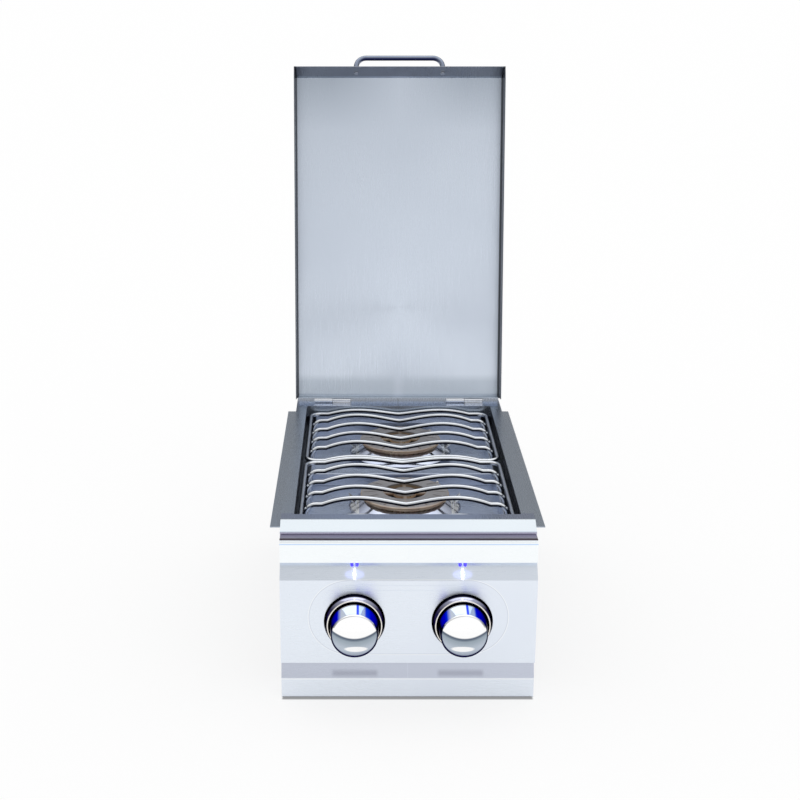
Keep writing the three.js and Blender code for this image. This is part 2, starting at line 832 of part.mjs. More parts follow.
function makeBurner(name, y) {
  const top = -burnerTopDrop;
  const ring = turned(
    [
      [ringInnerRadius, ringBottom + ringHeight / 2],
      [ringInnerRadius, top + ringCrown],
      [portInnerRadius, top + ringCrown],
      [ringRadius - ringRimHeight, top],
      [ringRadius, top - ringRimHeight / 2],
      [ringRadius, top - ringBandHeight],
      [ringBottomRadius, ringBottom],
      [ringBottomRadius - ringWall, ringBottom],
      [ringBottomRadius - ringWall, ringBottom + ringHeight / 2],
    ],
    [0, y, 0],
  );
  const ports = [];
  for (let i = 0; i < portCount; i += 1) {
    const cutter = new THREE.BoxGeometry(portOuterRadius - portInnerRadius, portWidth, portDepth);
    cutter.translate((portOuterRadius + portInnerRadius) / 2, 0, top + ringCrown - portDepth / 2);
    cutter.rotateZ((i / portCount) * Math.PI * 2);
    cutter.translate(0, y, 0);
    ports.push(toSolid(cutter));
  }
  const bandBottom = top - ringBandHeight;
  const slope = (ringRadius - ringBottomRadius) / (bandBottom - ringBottom);
  const portTop = top - sidePortTopDrop;
  const portFoot = portTop - sidePortHeight;
  const radiusAt = (z) => ringRadius - (bandBottom - z) * slope;
  for (let i = 0; i < sidePortCount; i += 1) {
    const outline = [
      [radiusAt(portTop) + overrun, portTop],
      [radiusAt(portFoot) + overrun, portFoot],
      [radiusAt(portFoot) - sidePortDepth, portFoot],
      [radiusAt(portTop) - sidePortDepth, portTop],
    ];
    const cutter = pulledY(outline, -sidePortWidth / 2, sidePortWidth / 2);
    const turn = THREE.MathUtils.radToDeg(((i + 1 / 2) / sidePortCount) * Math.PI * 2);
    ports.push(cutter.rotate([0, 0, turn]).translate([0, y, 0]));
  }
  addPiece(`${name}_burner_ring`, cutAll(ring, ports), brass());

  const webTop = top + ringCrown - ringRimHeight;
  const capSolids = [bar(
    capRadius,
    [0, y, webTop - capWebHeight],
    'z',
    capWebHeight + capRise,
    midSides,
    capTopRadius,
  )];
  for (let i = 0; i < capWebCount; i += 1) {
    const reach = ringInnerRadius - seatGap;
    const web = new THREE.BoxGeometry(reach, capWebWidth, capWebHeight);
    web.translate(reach / 2, 0, webTop - capWebHeight / 2);
    web.rotateZ((i / capWebCount) * Math.PI * 2);
    web.translate(0, y, 0);
    capSolids.push(toSolid(web));
  }
  addPiece(`${name}_burner_centre`, joinAll(capSolids), brass());

  const shoulderBottom = shoulderTop - baseShoulderHeight;
  addPiece(`${name}_burner_base`, turned(
    [
      [baseRadius - baseWall, baseTop],
      [baseRadius, baseTop],
      [baseRadius, shoulderTop],
      [baseShoulderRadius, shoulderTop],
      [baseShoulderRadius, shoulderBottom],
      [baseRadius, shoulderBottom],
      [baseNeckRadius, baseBottom],
      [baseNeckRadius, baseBottom - baseNeckHeight],
      [baseNeckBore, baseBottom - baseNeckHeight],
      [baseNeckBore, baseBottom + baseWall],
      [baseRadius - baseWall, shoulderBottom],
    ],
    [0, y, 0],
  ), castIron());

  const dishSeat = shoulderTop + seatGap;
  const dish = turned(foldedOutline(
    [
      [baseRadius + seatGap, dishSeat],
      [dishSeatRadius, dishSeat],
      [dishCrestRadius, dishSeat + dishCrestRise],
      [dishEdgeRadius, dishSeat + dishEdgeRise],
      [dishLipRadius, dishSeat],
    ],
    [0, 0, 0, 0, 0],
    thinSheet,
  ), [0, y, 0]);
  const earRoot = dishSeat + dishEdgeRise + thinSheet;
  const ears = sides.map(([, side]) => {
    const outline = foldedOutline(
      [[side * earRootRadius, earRoot], [side * earTipRadius, earRoot + earRise]],
      [0, 0],
      side * thinSheet,
    );
    return pulledY(outline, y - earWidth / 2, y + earWidth / 2);
  });
  const [ix, dy] = igniterPlace();
  const igniterHole = bar(
    igniterRadius + seatGap,
    [ix, y + dy, dishSeat - overrun],
    'z',
    dishCrestRise + 2 * overrun,
    screwSides,
  );
  addPiece(`${name}_drip_bowl`, joinAll([dish, ...ears]).subtract(igniterHole), polishedSteel());

  const tip = ringRadius + igniterSparkGap;
  const toTip = tip / igniterOffset;
  const wireTop = -igniterTop + igniterWireRise;
  const wire = bentLine(
    [
      point(ix, y + dy, -igniterTop - igniterWireRadius),
      point(ix, y + dy, wireTop),
      point(ix * toTip, y + dy * toTip, wireTop),
    ],
    igniterWireBend,
  );
  addPiece(`${name}_igniter`, joinAll([
    bar(igniterRadius, [ix, y + dy, -igniterBottom], 'z', igniterBottom - igniterTop, screwSides),
    bar(igniterCollar, [ix, y + dy, -panFloorDrop + seatGap], 'z', igniterCollarHeight, screwSides),
    swept(wire, igniterWireRadius, rodSides),
  ]), ceramic());
}

// The tube that carries gas and air from a jet to its burner
function makeVenturi(name, side, burnerY) {
  const x = side * knobX;
  const startY = frontWallRear + seatGap;
  const top = baseBottom - baseNeckHeight - seatGap;
  const tube = bentLine(
    [
      point(x, startY, -knobDrop),
      point(x, burnerY - venturiSlant, -knobDrop),
      point(0, burnerY, -knobDrop),
      point(0, burnerY, top),
    ],
    venturiBend,
    venturiBendSteps,
  );
  addPiece(
    `${name}_venturi_tube`,
    swept(tube, venturiRadius, venturiSides, venturiRadius - venturiWall),
    galvanised(),
  );
}

// The outside of the control panel from its ledge, down the front, to its bottom return
function panelCorners(topRear, bottomRear) {
  return [
    [topRear, ledgeTop],
    [-noseReach, ledgeTop],
    [-noseReach, -noseBottom],
    [-noseReach + noseUnderside, -noseBottom],
    [-panelReach, -panelTop],
    [-panelReach, -panelBottom],
    [-lowerRecessReach, -lowerRecessTop],
    [-stripReach, -stripTop],
    [-stripReach, -stripBottom],
    [bottomRear, -stripBottom],
  ];
}
const panelRadii = [0, noseBend, 0, 0, bendRadius, 0, 0, bendRadius, bendRadius, 0];

// One step of the raised field round the knobs, with half-round ends
function raisedField(radius, height) {
  const outline = [];
  for (const [, side] of sides) {
    for (let i = 0; i <= fieldSides; i += 1) {
      const angle = (-Math.PI / 2 + (Math.PI * i) / fieldSides) * side;
      const along = side * (fieldX + radius * Math.cos(angle));
      outline.push([along, -fieldDrop + radius * Math.sin(angle)]);
    }
  }
  return pulledY(outline, -panelReach - height, -panelReach + sheet / 2);
}

// Control panel: one folded sheet, with the raised field round the knobs
function makeControlPanel() {
  const corners = panelCorners(frontWallFront - seatGap, -stripReach + stripReturn);
  const outline = foldedOutline(corners, panelRadii, sheet);
  const panel = pulledX(outline, -panelHalfWidth, panelHalfWidth);
  const steps = [
    raisedField(fieldRadius, fieldStepHeight),
    raisedField(fieldRadius - fieldStepWidth, fieldHeight),
  ];
  const holes = [];
  for (const [, side] of sides) {
    holes.push(bar(
      stemHoleRadius,
      [side * knobX, -panelReach - fieldHeight - overrun, -knobDrop],
      'y',
      fieldHeight + sheet + 2 * overrun,
      midSides,
    ));
    for (const lamp of [-1, 1]) {
      holes.push(bar(
        lampRadius + screwGap,
        [side * knobX + (lamp * lampSpacing) / 2, lampY(), -noseBottom - overrun],
        'z',
        sheet + 2 * overrun,
        screwSides,
      ));
    }
  }
  addPiece('control_panel', cutAll(joinAll([panel, ...steps]), holes), paleSteel());

  for (const [name, side] of sides) {
    const span = (a, b) => (side > 0 ? [a, b] : [-b, -a]);
    const clear = sheet + seatGap;
    const endPath = roundedPath(panelCorners(panelEndRear, panelEndRear), panelRadii);
    const plateOutline = pairs(movedPath(endPath, clear));
    const [plateLow, plateHigh] = span(panelHalfWidth - sheet, panelHalfWidth);
    const plate = pulledX(plateOutline, plateLow, plateHigh);
    const besideFlange = wallOuter + seatGap + flangeSheet + seatGap;
    const rearLeg = block(
      span(besideFlange, panelHalfWidth - sheet / 2),
      [panelEndRear - sheet, panelEndRear],
      [-stripBottom + clear, flangeTop - flangeSheet - seatGap],
    );
    addPiece(`${name}_panel_end`, plate.add(rearLeg), paleSteel());
  }
}

const lampY = () => -noseReach + noseUnderside / 2;

// Bezels, knobs, stems and lamps
function makeKnobs() {
  for (const [name, side] of sides) {
    const x = side * knobX;
    addPiece(`${name}_bezel`, turned(
      [
        [stemHoleRadius, 0],
        [bezelRadius, 0],
        [bezelRadius, bezelRound],
        [bezelFrontRadius, bezelHeight - bezelRound],
        [bezelFrontRadius - bezelRound, bezelHeight],
        [knobSkirtRadius + seatGap + bezelRound, bezelHeight - bezelRound],
        [knobSkirtRadius + seatGap + bezelRound, bezelFloor],
        [stemHoleRadius, bezelFloor],
      ],
      [x, bezelBase, -knobDrop],
      roundSides,
      true,
    ), chrome());

    const dome = [];
    const domeBase = knobBodyLength + knobEdge;
    const domeRadius = knobFaceRadius - knobEdge;
    for (let i = 1; i <= domeSteps; i += 1) {
      const angle = (i / domeSteps) * (Math.PI / 2);
      dome.push([
        i === domeSteps ? 0 : domeRadius * Math.cos(angle),
        domeBase + knobDome * Math.sin(angle),
      ]);
    }
    const cavityTop = knobBodyLength - knobWall;
    addPiece(`${name}_knob`, turned(
      [
        [0, cavityTop - knobWall],
        [stemRadius + seatGap / 2, cavityTop - knobWall],
        [stemRadius + seatGap / 2, knobHubBack],
        [knobHubRadius, knobHubBack],
        [knobHubRadius, cavityTop],
        [knobFaceRadius - knobWall, cavityTop],
        [knobSkirtRadius - knobWall, 0],
        [knobSkirtRadius, 0],
        [knobSkirtRadius, knobSkirtHeight],
        [knobFaceRadius, knobBodyLength],
        [domeRadius, domeBase],
        ...dome,
      ],
      [x, knobBack, -knobDrop],
      roundSides,
      true,
    ), chrome());

    const stemFront = knobBack - cavityTop + knobWall + seatGap;
    const stemRear = valveFront + stemDepth;
    const stem = bar(stemRadius, [x, stemFront, -knobDrop], 'y', stemRear - stemFront, midSides);
    const flat = block(
      [x - stemRadius - overrun, x + stemRadius + overrun],
      [stemFront - overrun, knobBack - knobHubBack],
      [-knobDrop + stemRadius - stemFlat, -knobDrop + stemRadius + overrun],
    );
    addPiece(`${name}_valve_stem`, stem.subtract(flat), brass());

    const holderBottom = -noseBottom + sheet + seatGap;
    const holder = block(
      [x - lampHolderLength / 2, x + lampHolderLength / 2],
      [lampY() - lampHolderWidth / 2 + sheet, lampY() + lampHolderWidth / 2],
      [holderBottom, holderBottom + lampHolderHeight],
    );
    const lensTop = holderBottom + lampHolderHeight / 2;
    const lensTip = -noseBottom - lampHang;
    const lens = [[0, lensTop], [lampRadius, lensTop]];
    for (let i = 0; i <= domeSteps; i += 1) {
      const angle = (i / domeSteps) * (Math.PI / 2);
      lens.push([
        i === domeSteps ? 0 : lampRadius * Math.cos(angle),
        lensTip + lampRadius * (1 - Math.sin(angle)),
      ]);
    }
    const lenses = [-1, 1].map((lamp) => turned(
      lens,
      [x + (lamp * lampSpacing) / 2, lampY(), 0],
      screwSides,
    ));
    addPiece(`${name}_lamp_pair`, joinAll([holder, ...lenses]), lampBlue());
  }
}

// Gas train: pipe, valves, plugs, jets, inlet and heat shield
function makeGasTrain() {
  const pipeY = valveFront + pipeOffset;
  const pipeZ = -knobDrop - pipeDrop;
  const route = bentLine(
    [
      point(-pipeLeftEnd, pipeY, pipeZ),
      point(pipeRightBend, pipeY, pipeZ),
      point(pipeRightBend, pipeY, -pipeEndDrop),
    ],
    pipeBendRadius,
    pipeBendSteps,
  );
  addPiece('gas_pipe', swept(route, pipeRadius, midSides, pipeRadius - pipeWall), galvanised());

  const plugNut = bar(
    plugNutRadius,
    [-pipeLeftEnd - seatGap - plugNutLength, pipeY, pipeZ],
    'x',
    plugNutLength,
    hexSides,
  ).add(bar(
    pipeRadius - pipeWall - seatGap,
    [-pipeLeftEnd - seatGap - plugNutLength / 2, pipeY, pipeZ],
    'x',
    plugNutLength / 2 + plugSpigotLength,
    midSides,
  ));
  addPiece('gas_pipe_plug', plugNut, brass());

  const hexBottom = -pipeEndDrop - seatGap - inletHexLength;
  const nippleBottom = hexBottom - inletNippleLength;
  const inletHex = bar(inletHexRadius, [pipeRightBend, pipeY, hexBottom], 'z', inletHexLength, hexSides);
  const nipple = bar(
    inletNippleRadius,
    [pipeRightBend, pipeY, nippleBottom],
    'z',
    inletNippleLength + overrun,
    midSides,
  );
  const bore = bar(
    inletBore,
    [pipeRightBend, pipeY, nippleBottom - overrun],
    'z',
    inletHexLength + inletNippleLength + 2 * overrun,
    midSides,
  );
  addPiece('gas_inlet_fitting', inletHex.add(nipple).subtract(bore), brass());

  for (const [name, side] of sides) {
    const x = side * knobX;
    const valveStart = [x, valveFront, -knobDrop];
    const valveEnd = [x, valveRear - overrun, -knobDrop];
    const bodySolid = bar(valveRadius, valveStart, 'y', valveLength, midSides);
    const boss = bar(valveBossRadius, valveEnd, 'y', valveBossLength + overrun, midSides);
    const spigot = bar(spigotRadius, [x, pipeY, pipeZ], 'z', pipeDrop, midSides);
    const saddle = bar(
      pipeRadius + seatGap,
      [x - valveRadius - overrun, pipeY, pipeZ],
      'x',
      2 * (valveRadius + overrun),
      midSides,
    );
    const plugBore = bar(
      plugRadius + runningGap,
      [x, valveFront - overrun, -knobDrop],
      'y',
      overrun + plugLength + seatGap,
      midSides,
    );
    const gasWayLength = valveLength + valveBossLength + overrun;
    const gasWay = bar(jetRadius, valveStart, 'y', gasWayLength, screwSides);
    addPiece(
      `${name}_valve_body`,
      cutAll(joinAll([bodySolid, boss, spigot]), [saddle, plugBore, gasWay]),
      brass(),
    );

    const plug = bar(plugRadius, valveStart, 'y', plugLength, midSides, plugRadius - plugTaper);
    const stemBore = bar(
      stemRadius + runningGap,
      [x, valveFront - overrun, -knobDrop],
      'y',
      overrun + stemDepth + pushTravel + pushSpare,
      midSides,
    );
    addPiece(`${name}_valve_plug`, plug.subtract(stemBore), brass());

    const jetStart = valveRear + valveBossLength + seatGap;
    const jetHex = bar(jetHexRadius, [x, jetStart, -knobDrop], 'y', jetHexLength, hexSides);
    const jetTube = bar(jetRadius, [x, jetStart, -knobDrop], 'y', jetLength, screwSides, jetTipRadius);
    const jetHole = bar(
      jetBore,
      [x, jetStart - overrun, -knobDrop],
      'y',
      jetLength + 2 * overrun,
      hexSides,
    );
    addPiece(`${name}_gas_jet`, jetHex.add(jetTube).subtract(jetHole), brass());
  }

  const shieldTop = -knobDrop + shieldRise;
  const shieldBottom = -knobDrop - shieldFall;
  const wallSide = frontWallFront - seatGap;
  const shield = pulledX(foldedOutline(
    [
      [wallSide, shieldTop + shieldFoot],
      [wallSide, shieldTop],
      [wallSide - shieldStandOff, shieldTop],
      [wallSide - shieldStandOff, shieldBottom],
      [wallSide, shieldBottom],
      [wallSide, shieldBottom - shieldFoot],
    ],
    [0, 0, bendRadius, bendRadius, 0, 0],
    -thinSheet,
  ).reverse(), -shieldHalfLength, shieldHalfLength);
  const shieldHoles = sides.map(([, side]) => bar(
    shieldHoleRadius,
    [side * knobX, wallSide - shieldStandOff - overrun, -knobDrop],
    'y',
    shieldStandOff + 2 * overrun,
    midSides,
  ));
  addPiece('heat_shield', cutAll(shield, shieldHoles), galvanised());
}

// Lid skin: a folded sheet with a sloping front, a rear flange and two side flanges
function makeLid() {
  const innerHalf = lidHalf - sheet;
  const outline = foldedOutline(
    [
      [lidRear, lidRearFoot],
      [lidRear, lidRise],
      [-lidBevelTopReach, lidRise],
      [-lidFrontReach, -lidFrontDrop],
    ],
    [0, bendRadius, bendRadius, 0],
    sheet,
  );
  const top = pulledX(outline, -lidHalf, lidHalf);
  const sideOutline = [
    [lidRear, -lidFlangeDrop],
    [lidRear, lidRise - bendRadius],
    [lidRear - bendRadius, lidRise],
    [-lidBevelTopReach + bendRadius, lidRise],
    [-lidBevelTopReach - sheet / 2, lidRise - bendRadius],
    [-lidFrontReach, -lidFrontDrop],
    [-lidFrontReach + sheet, -lidFrontDrop],
    [sheet, -lidFlangeDrop],
  ];
  const flanges = sides.map(([, side]) => {
    const [low, high] = side > 0 ? [innerHalf, lidHalf] : [-lidHalf, -innerHalf];
    return pulledX(sideOutline, low, high);
  });
  const holes = sides.map(([, side]) => slopedBar(
    screwShankRadius + screwGap,
    side * handleHalfWidth,
    -sheet - overrun,
    sheet + 2 * overrun,
  ));
  addLidPiece('lid_skin', cutAll(joinAll([top, ...flanges]), holes), brushedSteel());
}

// Direction down the lid's sloping front, and the direction that points away from it
function slopeDirection() {
  return new THREE.Vector2(
    -lidFrontReach + lidBevelTopReach,
    -lidFrontDrop - lidRise,
  ).normalize();
}

function slopeNormal() {
  const down = slopeDirection();
  return new THREE.Vector2(down.y, -down.x);
}

// The middle of the sloping front, moved off it by a distance
function slopePoint(x, offset) {
  const normal = slopeNormal();
  const midY = -(lidFrontReach + lidBevelTopReach) / 2;
  const midZ = (lidRise - lidFrontDrop) / 2;
  return point(x, midY + normal.x * offset, midZ + normal.y * offset);
}

// A bar square to the sloping front, from one offset to the next
function slopedBar(radius, x, offset, length, barSides = screwSides) {
  const normal = slopeNormal();
  const geometry = new THREE.CylinderGeometry(radius, radius, length, barSides);
  geometry.translate(0, length / 2, 0);
  const axis = point(0, normal.x, normal.y);
  geometry.applyQuaternion(new THREE.Quaternion().setFromUnitVectors(direction.y, axis));
  const start = slopePoint(x, offset);
  geometry.translate(start.x, start.y, start.z);
  return toSolid(geometry);
}

function makeHandle() {
  const corners = [
    slopePoint(-handleHalfWidth, seatGap),
    slopePoint(-handleHalfWidth, handleStandOff),
    slopePoint(handleHalfWidth, handleStandOff),
    slopePoint(handleHalfWidth, seatGap),
  ];
  const bow = swept(bentLine(corners, handleBend, handleBendSteps), handleRadius, screwSides);
  const bores = sides.map(([, side]) => slopedBar(
    screwShankRadius + screwGap,
    side * handleHalfWidth,
    -overrun,
    overrun + seatGap + handleBoreDepth,
  ));
  addLidPiece('lid_handle', cutAll(bow, bores), chrome());
  for (const [name, side] of sides) {
    const head = slopedBar(
      screwHeadRadius,
      side * handleHalfWidth,
      -sheet - seatGap - screwHeadHeight,
      screwHeadHeight,
    );
    const shank = slopedBar(
      screwShankRadius,
      side * handleHalfWidth,
      -sheet - seatGap - screwHeadHeight / 2,
      screwHeadHeight / 2 + sheet + seatGap + handleBoreDepth - overrun,
    );
    addLidPiece(`${name}_handle_screw`, head.add(shank), zincScrew());
  }
}

// Height of the open lid's back face over the rear edge of a hinge base
function lidStopHeight() {
  const lean = THREE.MathUtils.degToRad(openAngle) - Math.PI / 2;
  return hingeRise + (hingeBack - lidRear) / Math.cos(lean) - hingeBaseRear * Math.tan(lean);
}

// Hinges: on each, the left knuckle turns with the lid and the right one stays on the frame
function makeHinges() {
  for (const [name, side] of sides) {
    const middle = side * hingeX;
    const lidSpan = [middle - knuckleLength - knuckleGap / 2, middle - knuckleGap / 2];
    const baseSpan = [middle + knuckleGap / 2, middle + knuckleGap / 2 + knuckleLength];
    const barrel = (span, radius) => bar(
      radius,
      [span[0], hingeBack, hingeRise],
      'x',
      span[1] - span[0],
      screwSides,
    );
    const bore = bar(
      hingePinRadius + runningGap,
      [middle - knuckleLength - overrun, hingeBack, hingeRise],
      'x',
      2 * (knuckleLength + overrun),
      screwSides,
    );
    const leaf = block(
      lidSpan,
      [lidRear + seatGap, lidRear + seatGap + hingeLeaf],
      [hingeRise - hingeRadius / 2, hingeRise + hingeLeafHeight],
    );
    const leafSolid = joinAll([leaf, barrel(lidSpan, hingeRadius)]).subtract(bore);
    addLidPiece(`${name}_lid_hinge_leaf`, leafSolid, polishedSteel());

    const base = block(
      baseSpan,
      [hingeBack - hingeBaseFront, hingeBack + hingeBaseRear],
      [seatGap, seatGap + hingeLeaf],
    );
    const web = block(
      baseSpan,
      [hingeBack - hingeWebWidth / 2, hingeBack + hingeWebWidth / 2],
      [seatGap + hingeLeaf / 2, hingeRise],
    );
    const stop = block(
      baseSpan,
      [hingeBack + hingeBaseRear - lidStopWidth, hingeBack + hingeBaseRear],
      [seatGap + hingeLeaf / 2, lidStopHeight() - seatGap],
    );
    const baseSolid = joinAll([base, web, stop, barrel(baseSpan, hingeRadius)]).subtract(bore);
    addPiece(`${name}_hinge_base`, baseSolid, polishedSteel());

    const pinStart = lidSpan[0] - seatGap;
    const pin = bar(
      hingePinRadius,
      [pinStart, hingeBack, hingeRise],
      'x',
      baseSpan[1] - pinStart + seatGap + pinHeadLength,
      screwSides,
    ).add(bar(
      pinHeadRadius,
      [baseSpan[1] + seatGap, hingeBack, hingeRise],
      'x',
      pinHeadLength,
      screwSides,
    ));
    addPiece(`${name}_hinge_pin`, pin, zincScrew());
  }
}

makeTopFrame();
makeCounterFlanges();
makeFirebox();
makeBurnerPan();
makeGrates();
makeBurner('front', frontBurnerY);
makeBurner('rear', rearBurnerY);
makeVenturi('front', -1, frontBurnerY);
makeVenturi('rear', 1, rearBurnerY);
makeControlPanel();
makeKnobs();
makeGasTrain();
makeLid();
makeHandle();
makeHinges();

export default burner;
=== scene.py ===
import json
import math

import bpy
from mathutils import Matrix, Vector

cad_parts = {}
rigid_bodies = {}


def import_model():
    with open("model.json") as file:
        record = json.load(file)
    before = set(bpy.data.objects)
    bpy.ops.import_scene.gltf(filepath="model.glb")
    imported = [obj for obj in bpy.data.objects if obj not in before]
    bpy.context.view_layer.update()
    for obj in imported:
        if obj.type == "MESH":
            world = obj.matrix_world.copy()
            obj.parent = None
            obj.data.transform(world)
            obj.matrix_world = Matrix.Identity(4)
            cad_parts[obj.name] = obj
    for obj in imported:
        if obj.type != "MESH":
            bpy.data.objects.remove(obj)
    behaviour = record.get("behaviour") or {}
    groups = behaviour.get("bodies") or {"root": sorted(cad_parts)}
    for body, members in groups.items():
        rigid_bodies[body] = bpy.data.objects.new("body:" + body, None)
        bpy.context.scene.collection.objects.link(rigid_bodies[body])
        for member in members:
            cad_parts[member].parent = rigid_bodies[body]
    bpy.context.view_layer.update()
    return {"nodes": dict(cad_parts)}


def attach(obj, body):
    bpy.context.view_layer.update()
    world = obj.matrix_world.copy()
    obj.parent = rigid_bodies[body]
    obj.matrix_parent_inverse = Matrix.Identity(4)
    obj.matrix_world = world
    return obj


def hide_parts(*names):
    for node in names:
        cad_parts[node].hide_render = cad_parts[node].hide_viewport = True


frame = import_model()
nodes = frame["nodes"]
print("frame loaded with", len(nodes), "nodes")

# Lengths below are in millimetres from the top frame: y = 0 at its front edge, z = 0 at its top face
topFrame = {"front": -263.5, "height": 237.0}
far = 5000  # past everything, for the open side of a zone
knobAxis = {"x": 70.77, "z": -122.8}


def at(x, y, z):
    return Vector((x, y + topFrame["front"], z + topFrame["height"])) / 1000


# Camera, at the photograph's viewpoint
viewpoint = {
    "x": -61.9, "y": -1791.8, "z": 713.3, "pitch": 17.0, "lens": 65.25, "sensor": 36, "shift": 0.0484, "clipEnd": 200,
}
bpy.ops.object.camera_add(
    location=at(viewpoint["x"], viewpoint["y"], viewpoint["z"]),
    rotation=(math.radians(90 - viewpoint["pitch"]), 0, 0),
)
camera = bpy.context.object
camera.name = "camera"
camera.data.sensor_width = viewpoint["sensor"]
camera.data.lens = viewpoint["lens"]
camera.data.shift_x = viewpoint["shift"]
camera.data.clip_end = viewpoint["clipEnd"]
bpy.context.scene.camera = camera
bpy.context.scene.view_settings.view_transform = "Standard"


def newGroup(name, inputs, outputs):
    group = bpy.data.node_groups.new(name, "ShaderNodeTree")
    for label, kind, value in inputs:
        socket = group.interface.new_socket(label, in_out="INPUT", socket_type=kind)
        socket.default_value = value
    for label in outputs:
        group.interface.new_socket(label, in_out="OUTPUT", socket_type="NodeSocketFloat")
    return group, group.nodes.new("NodeGroupInput"), group.nodes.new("NodeGroupOutput")


def groupNode(tree, group, values):
    node = tree.nodes.new("ShaderNodeGroup")
    node.node_tree = group
    for label, value in values.items():
        node.inputs[label].default_value = value
    return node


def mathNode(tree, operation, first, second=0):
    node = tree.nodes.new("ShaderNodeMath")
    node.operation = operation
    for socket, value in zip(node.inputs, (first, second)):
        if isinstance(value, (int, float)):
            socket.default_value = value
        else:
            tree.links.new(value, socket)
    return node.outputs[0]


def vectorNode(tree, operation, first, second):
    node = tree.nodes.new("ShaderNodeVectorMath")
    node.operation = operation
    for socket, value in zip(node.inputs, (first, second)):
        if isinstance(value, tuple):
            socket.default_value = value
        else:
            tree.links.new(value, socket)
    return node.outputs[0]


def lengthOf(tree, vector):
    node = tree.nodes.new("ShaderNodeVectorMath")
    node.operation = "LENGTH"
    tree.links.new(vector, node.inputs[0])
    return node.outputs["Value"]


def axesOf(tree, vector):
    node = tree.nodes.new("ShaderNodeSeparateXYZ")
    tree.links.new(vector, node.inputs[0])
    return node.outputs


def objectPlace(tree):
    return tree.nodes.new("ShaderNodeTexCoord").outputs["Object"]


# A place with x counted outward from the middle, so that left and right are the same
def mirroredPlace(tree):
    place = objectPlace(tree)
    return vectorNode(tree, "MAXIMUM", place, vectorNode(tree, "MULTIPLY", place, (-1, 1, 1)))


def mixColours(tree, factor, first, second):
    mix = tree.nodes.new("ShaderNodeMix")
    mix.data_type = "RGBA"
    for socket, value in ((mix.inputs["A"], first), (mix.inputs["B"], second)):
        if isinstance(value, tuple):
            socket.default_value = (*value, 1)
        else:
            tree.links.new(value, socket)
    tree.links.new(factor, mix.inputs["Factor"])
    return mix.outputs["Result"]


# Noise mostly lies between the default ends of the range
def spread(tree, value, low, high, fromLow=0.3, fromHigh=0.7):
    ranged = tree.nodes.new("ShaderNodeMapRange")
    ranged.inputs["From Min"].default_value = fromLow
    ranged.inputs["From Max"].default_value = fromHigh
    ranged.inputs["To Min"].default_value = low
    ranged.inputs["To Max"].default_value = high
    tree.links.new(value, ranged.inputs["Value"])
    return ranged.outputs["Result"]


# Fine lines from the brush, and slow clouds where hands and cloths have been
brushGroup, given, made = newGroup(
    "brushedGrain",
    [("Stretch", "NodeSocketVector", (20, 900, 900)), ("Cloud Size", "NodeSocketFloat", 9)],
    ["Grain", "Cloud"],
)
place = objectPlace(brushGroup)
lines = brushGroup.nodes.new("ShaderNodeTexNoise")
lines.inputs["Scale"].default_value = 1
lines.inputs["Detail"].default_value = 3
clouds = brushGroup.nodes.new("ShaderNodeTexNoise")
clouds.inputs["Detail"].default_value = 2
link = brushGroup.links.new
link(vectorNode(brushGroup, "MULTIPLY", place, given.outputs["Stretch"]), lines.inputs["Vector"])
link(place, clouds.inputs["Vector"])
link(given.outputs["Cloud Size"], clouds.inputs["Scale"])
link(lines.outputs["Fac"], made.inputs["Grain"])
link(clouds.outputs["Fac"], made.inputs["Cloud"])

# Small pits and specks of castings, zinc coats and burnt brass
speckGroup, given, made = newGroup(
    "specks",
    [("Size", "NodeSocketFloat", 600), ("Patch Size", "NodeSocketFloat", 25)],
    ["Specks", "Patches"],
)
place = objectPlace(speckGroup)
pits = speckGroup.nodes.new("ShaderNodeTexVoronoi")
patches = speckGroup.nodes.new("ShaderNodeTexNoise")
patches.inputs["Detail"].default_value = 4
link = speckGroup.links.new
link(place, pits.inputs["Vector"])
link(place, patches.inputs["Vector"])
link(given.outputs["Size"], pits.inputs["Scale"])
link(given.outputs["Patch Size"], patches.inputs["Scale"])
link(pits.outputs["Distance"], made.inputs["Specks"])
link(patches.outputs["Fac"], made.inputs["Patches"])

# A box on the object, the same at its left and right, for painted shade, painted highlights and painted reflections
# that stay in one place
paintedZoneGroup, given, made = newGroup(
    "paintedLightZone",
    [("Low", "NodeSocketVector", (0, 0, 0)), ("High", "NodeSocketVector", (1, 1, 1)),
     ("Sharpness", "NodeSocketFloat", 1000)],
    ["Mask"],
)
place = mirroredPlace(paintedZoneGroup)
bounds = []
for first, second in ((place, given.outputs["Low"]), (given.outputs["High"], place)):
    scaled = paintedZoneGroup.nodes.new("ShaderNodeVectorMath")
    scaled.operation = "SCALE"
    paintedZoneGroup.links.new(vectorNode(paintedZoneGroup, "SUBTRACT", first, second), scaled.inputs[0])
    paintedZoneGroup.links.new(given.outputs["Sharpness"], scaled.inputs["Scale"])
    floored = vectorNode(paintedZoneGroup, "MAXIMUM", scaled.outputs[0], (0, 0, 0))
    bounds.append(vectorNode(paintedZoneGroup, "MINIMUM", floored, (1, 1, 1)))
split = axesOf(paintedZoneGroup, vectorNode(paintedZoneGroup, "MULTIPLY", *bounds))
across = mathNode(paintedZoneGroup, "MULTIPLY", split["X"], split["Y"])
paintedZoneGroup.links.new(mathNode(paintedZoneGroup, "MULTIPLY", across, split["Z"]), made.inputs["Mask"])
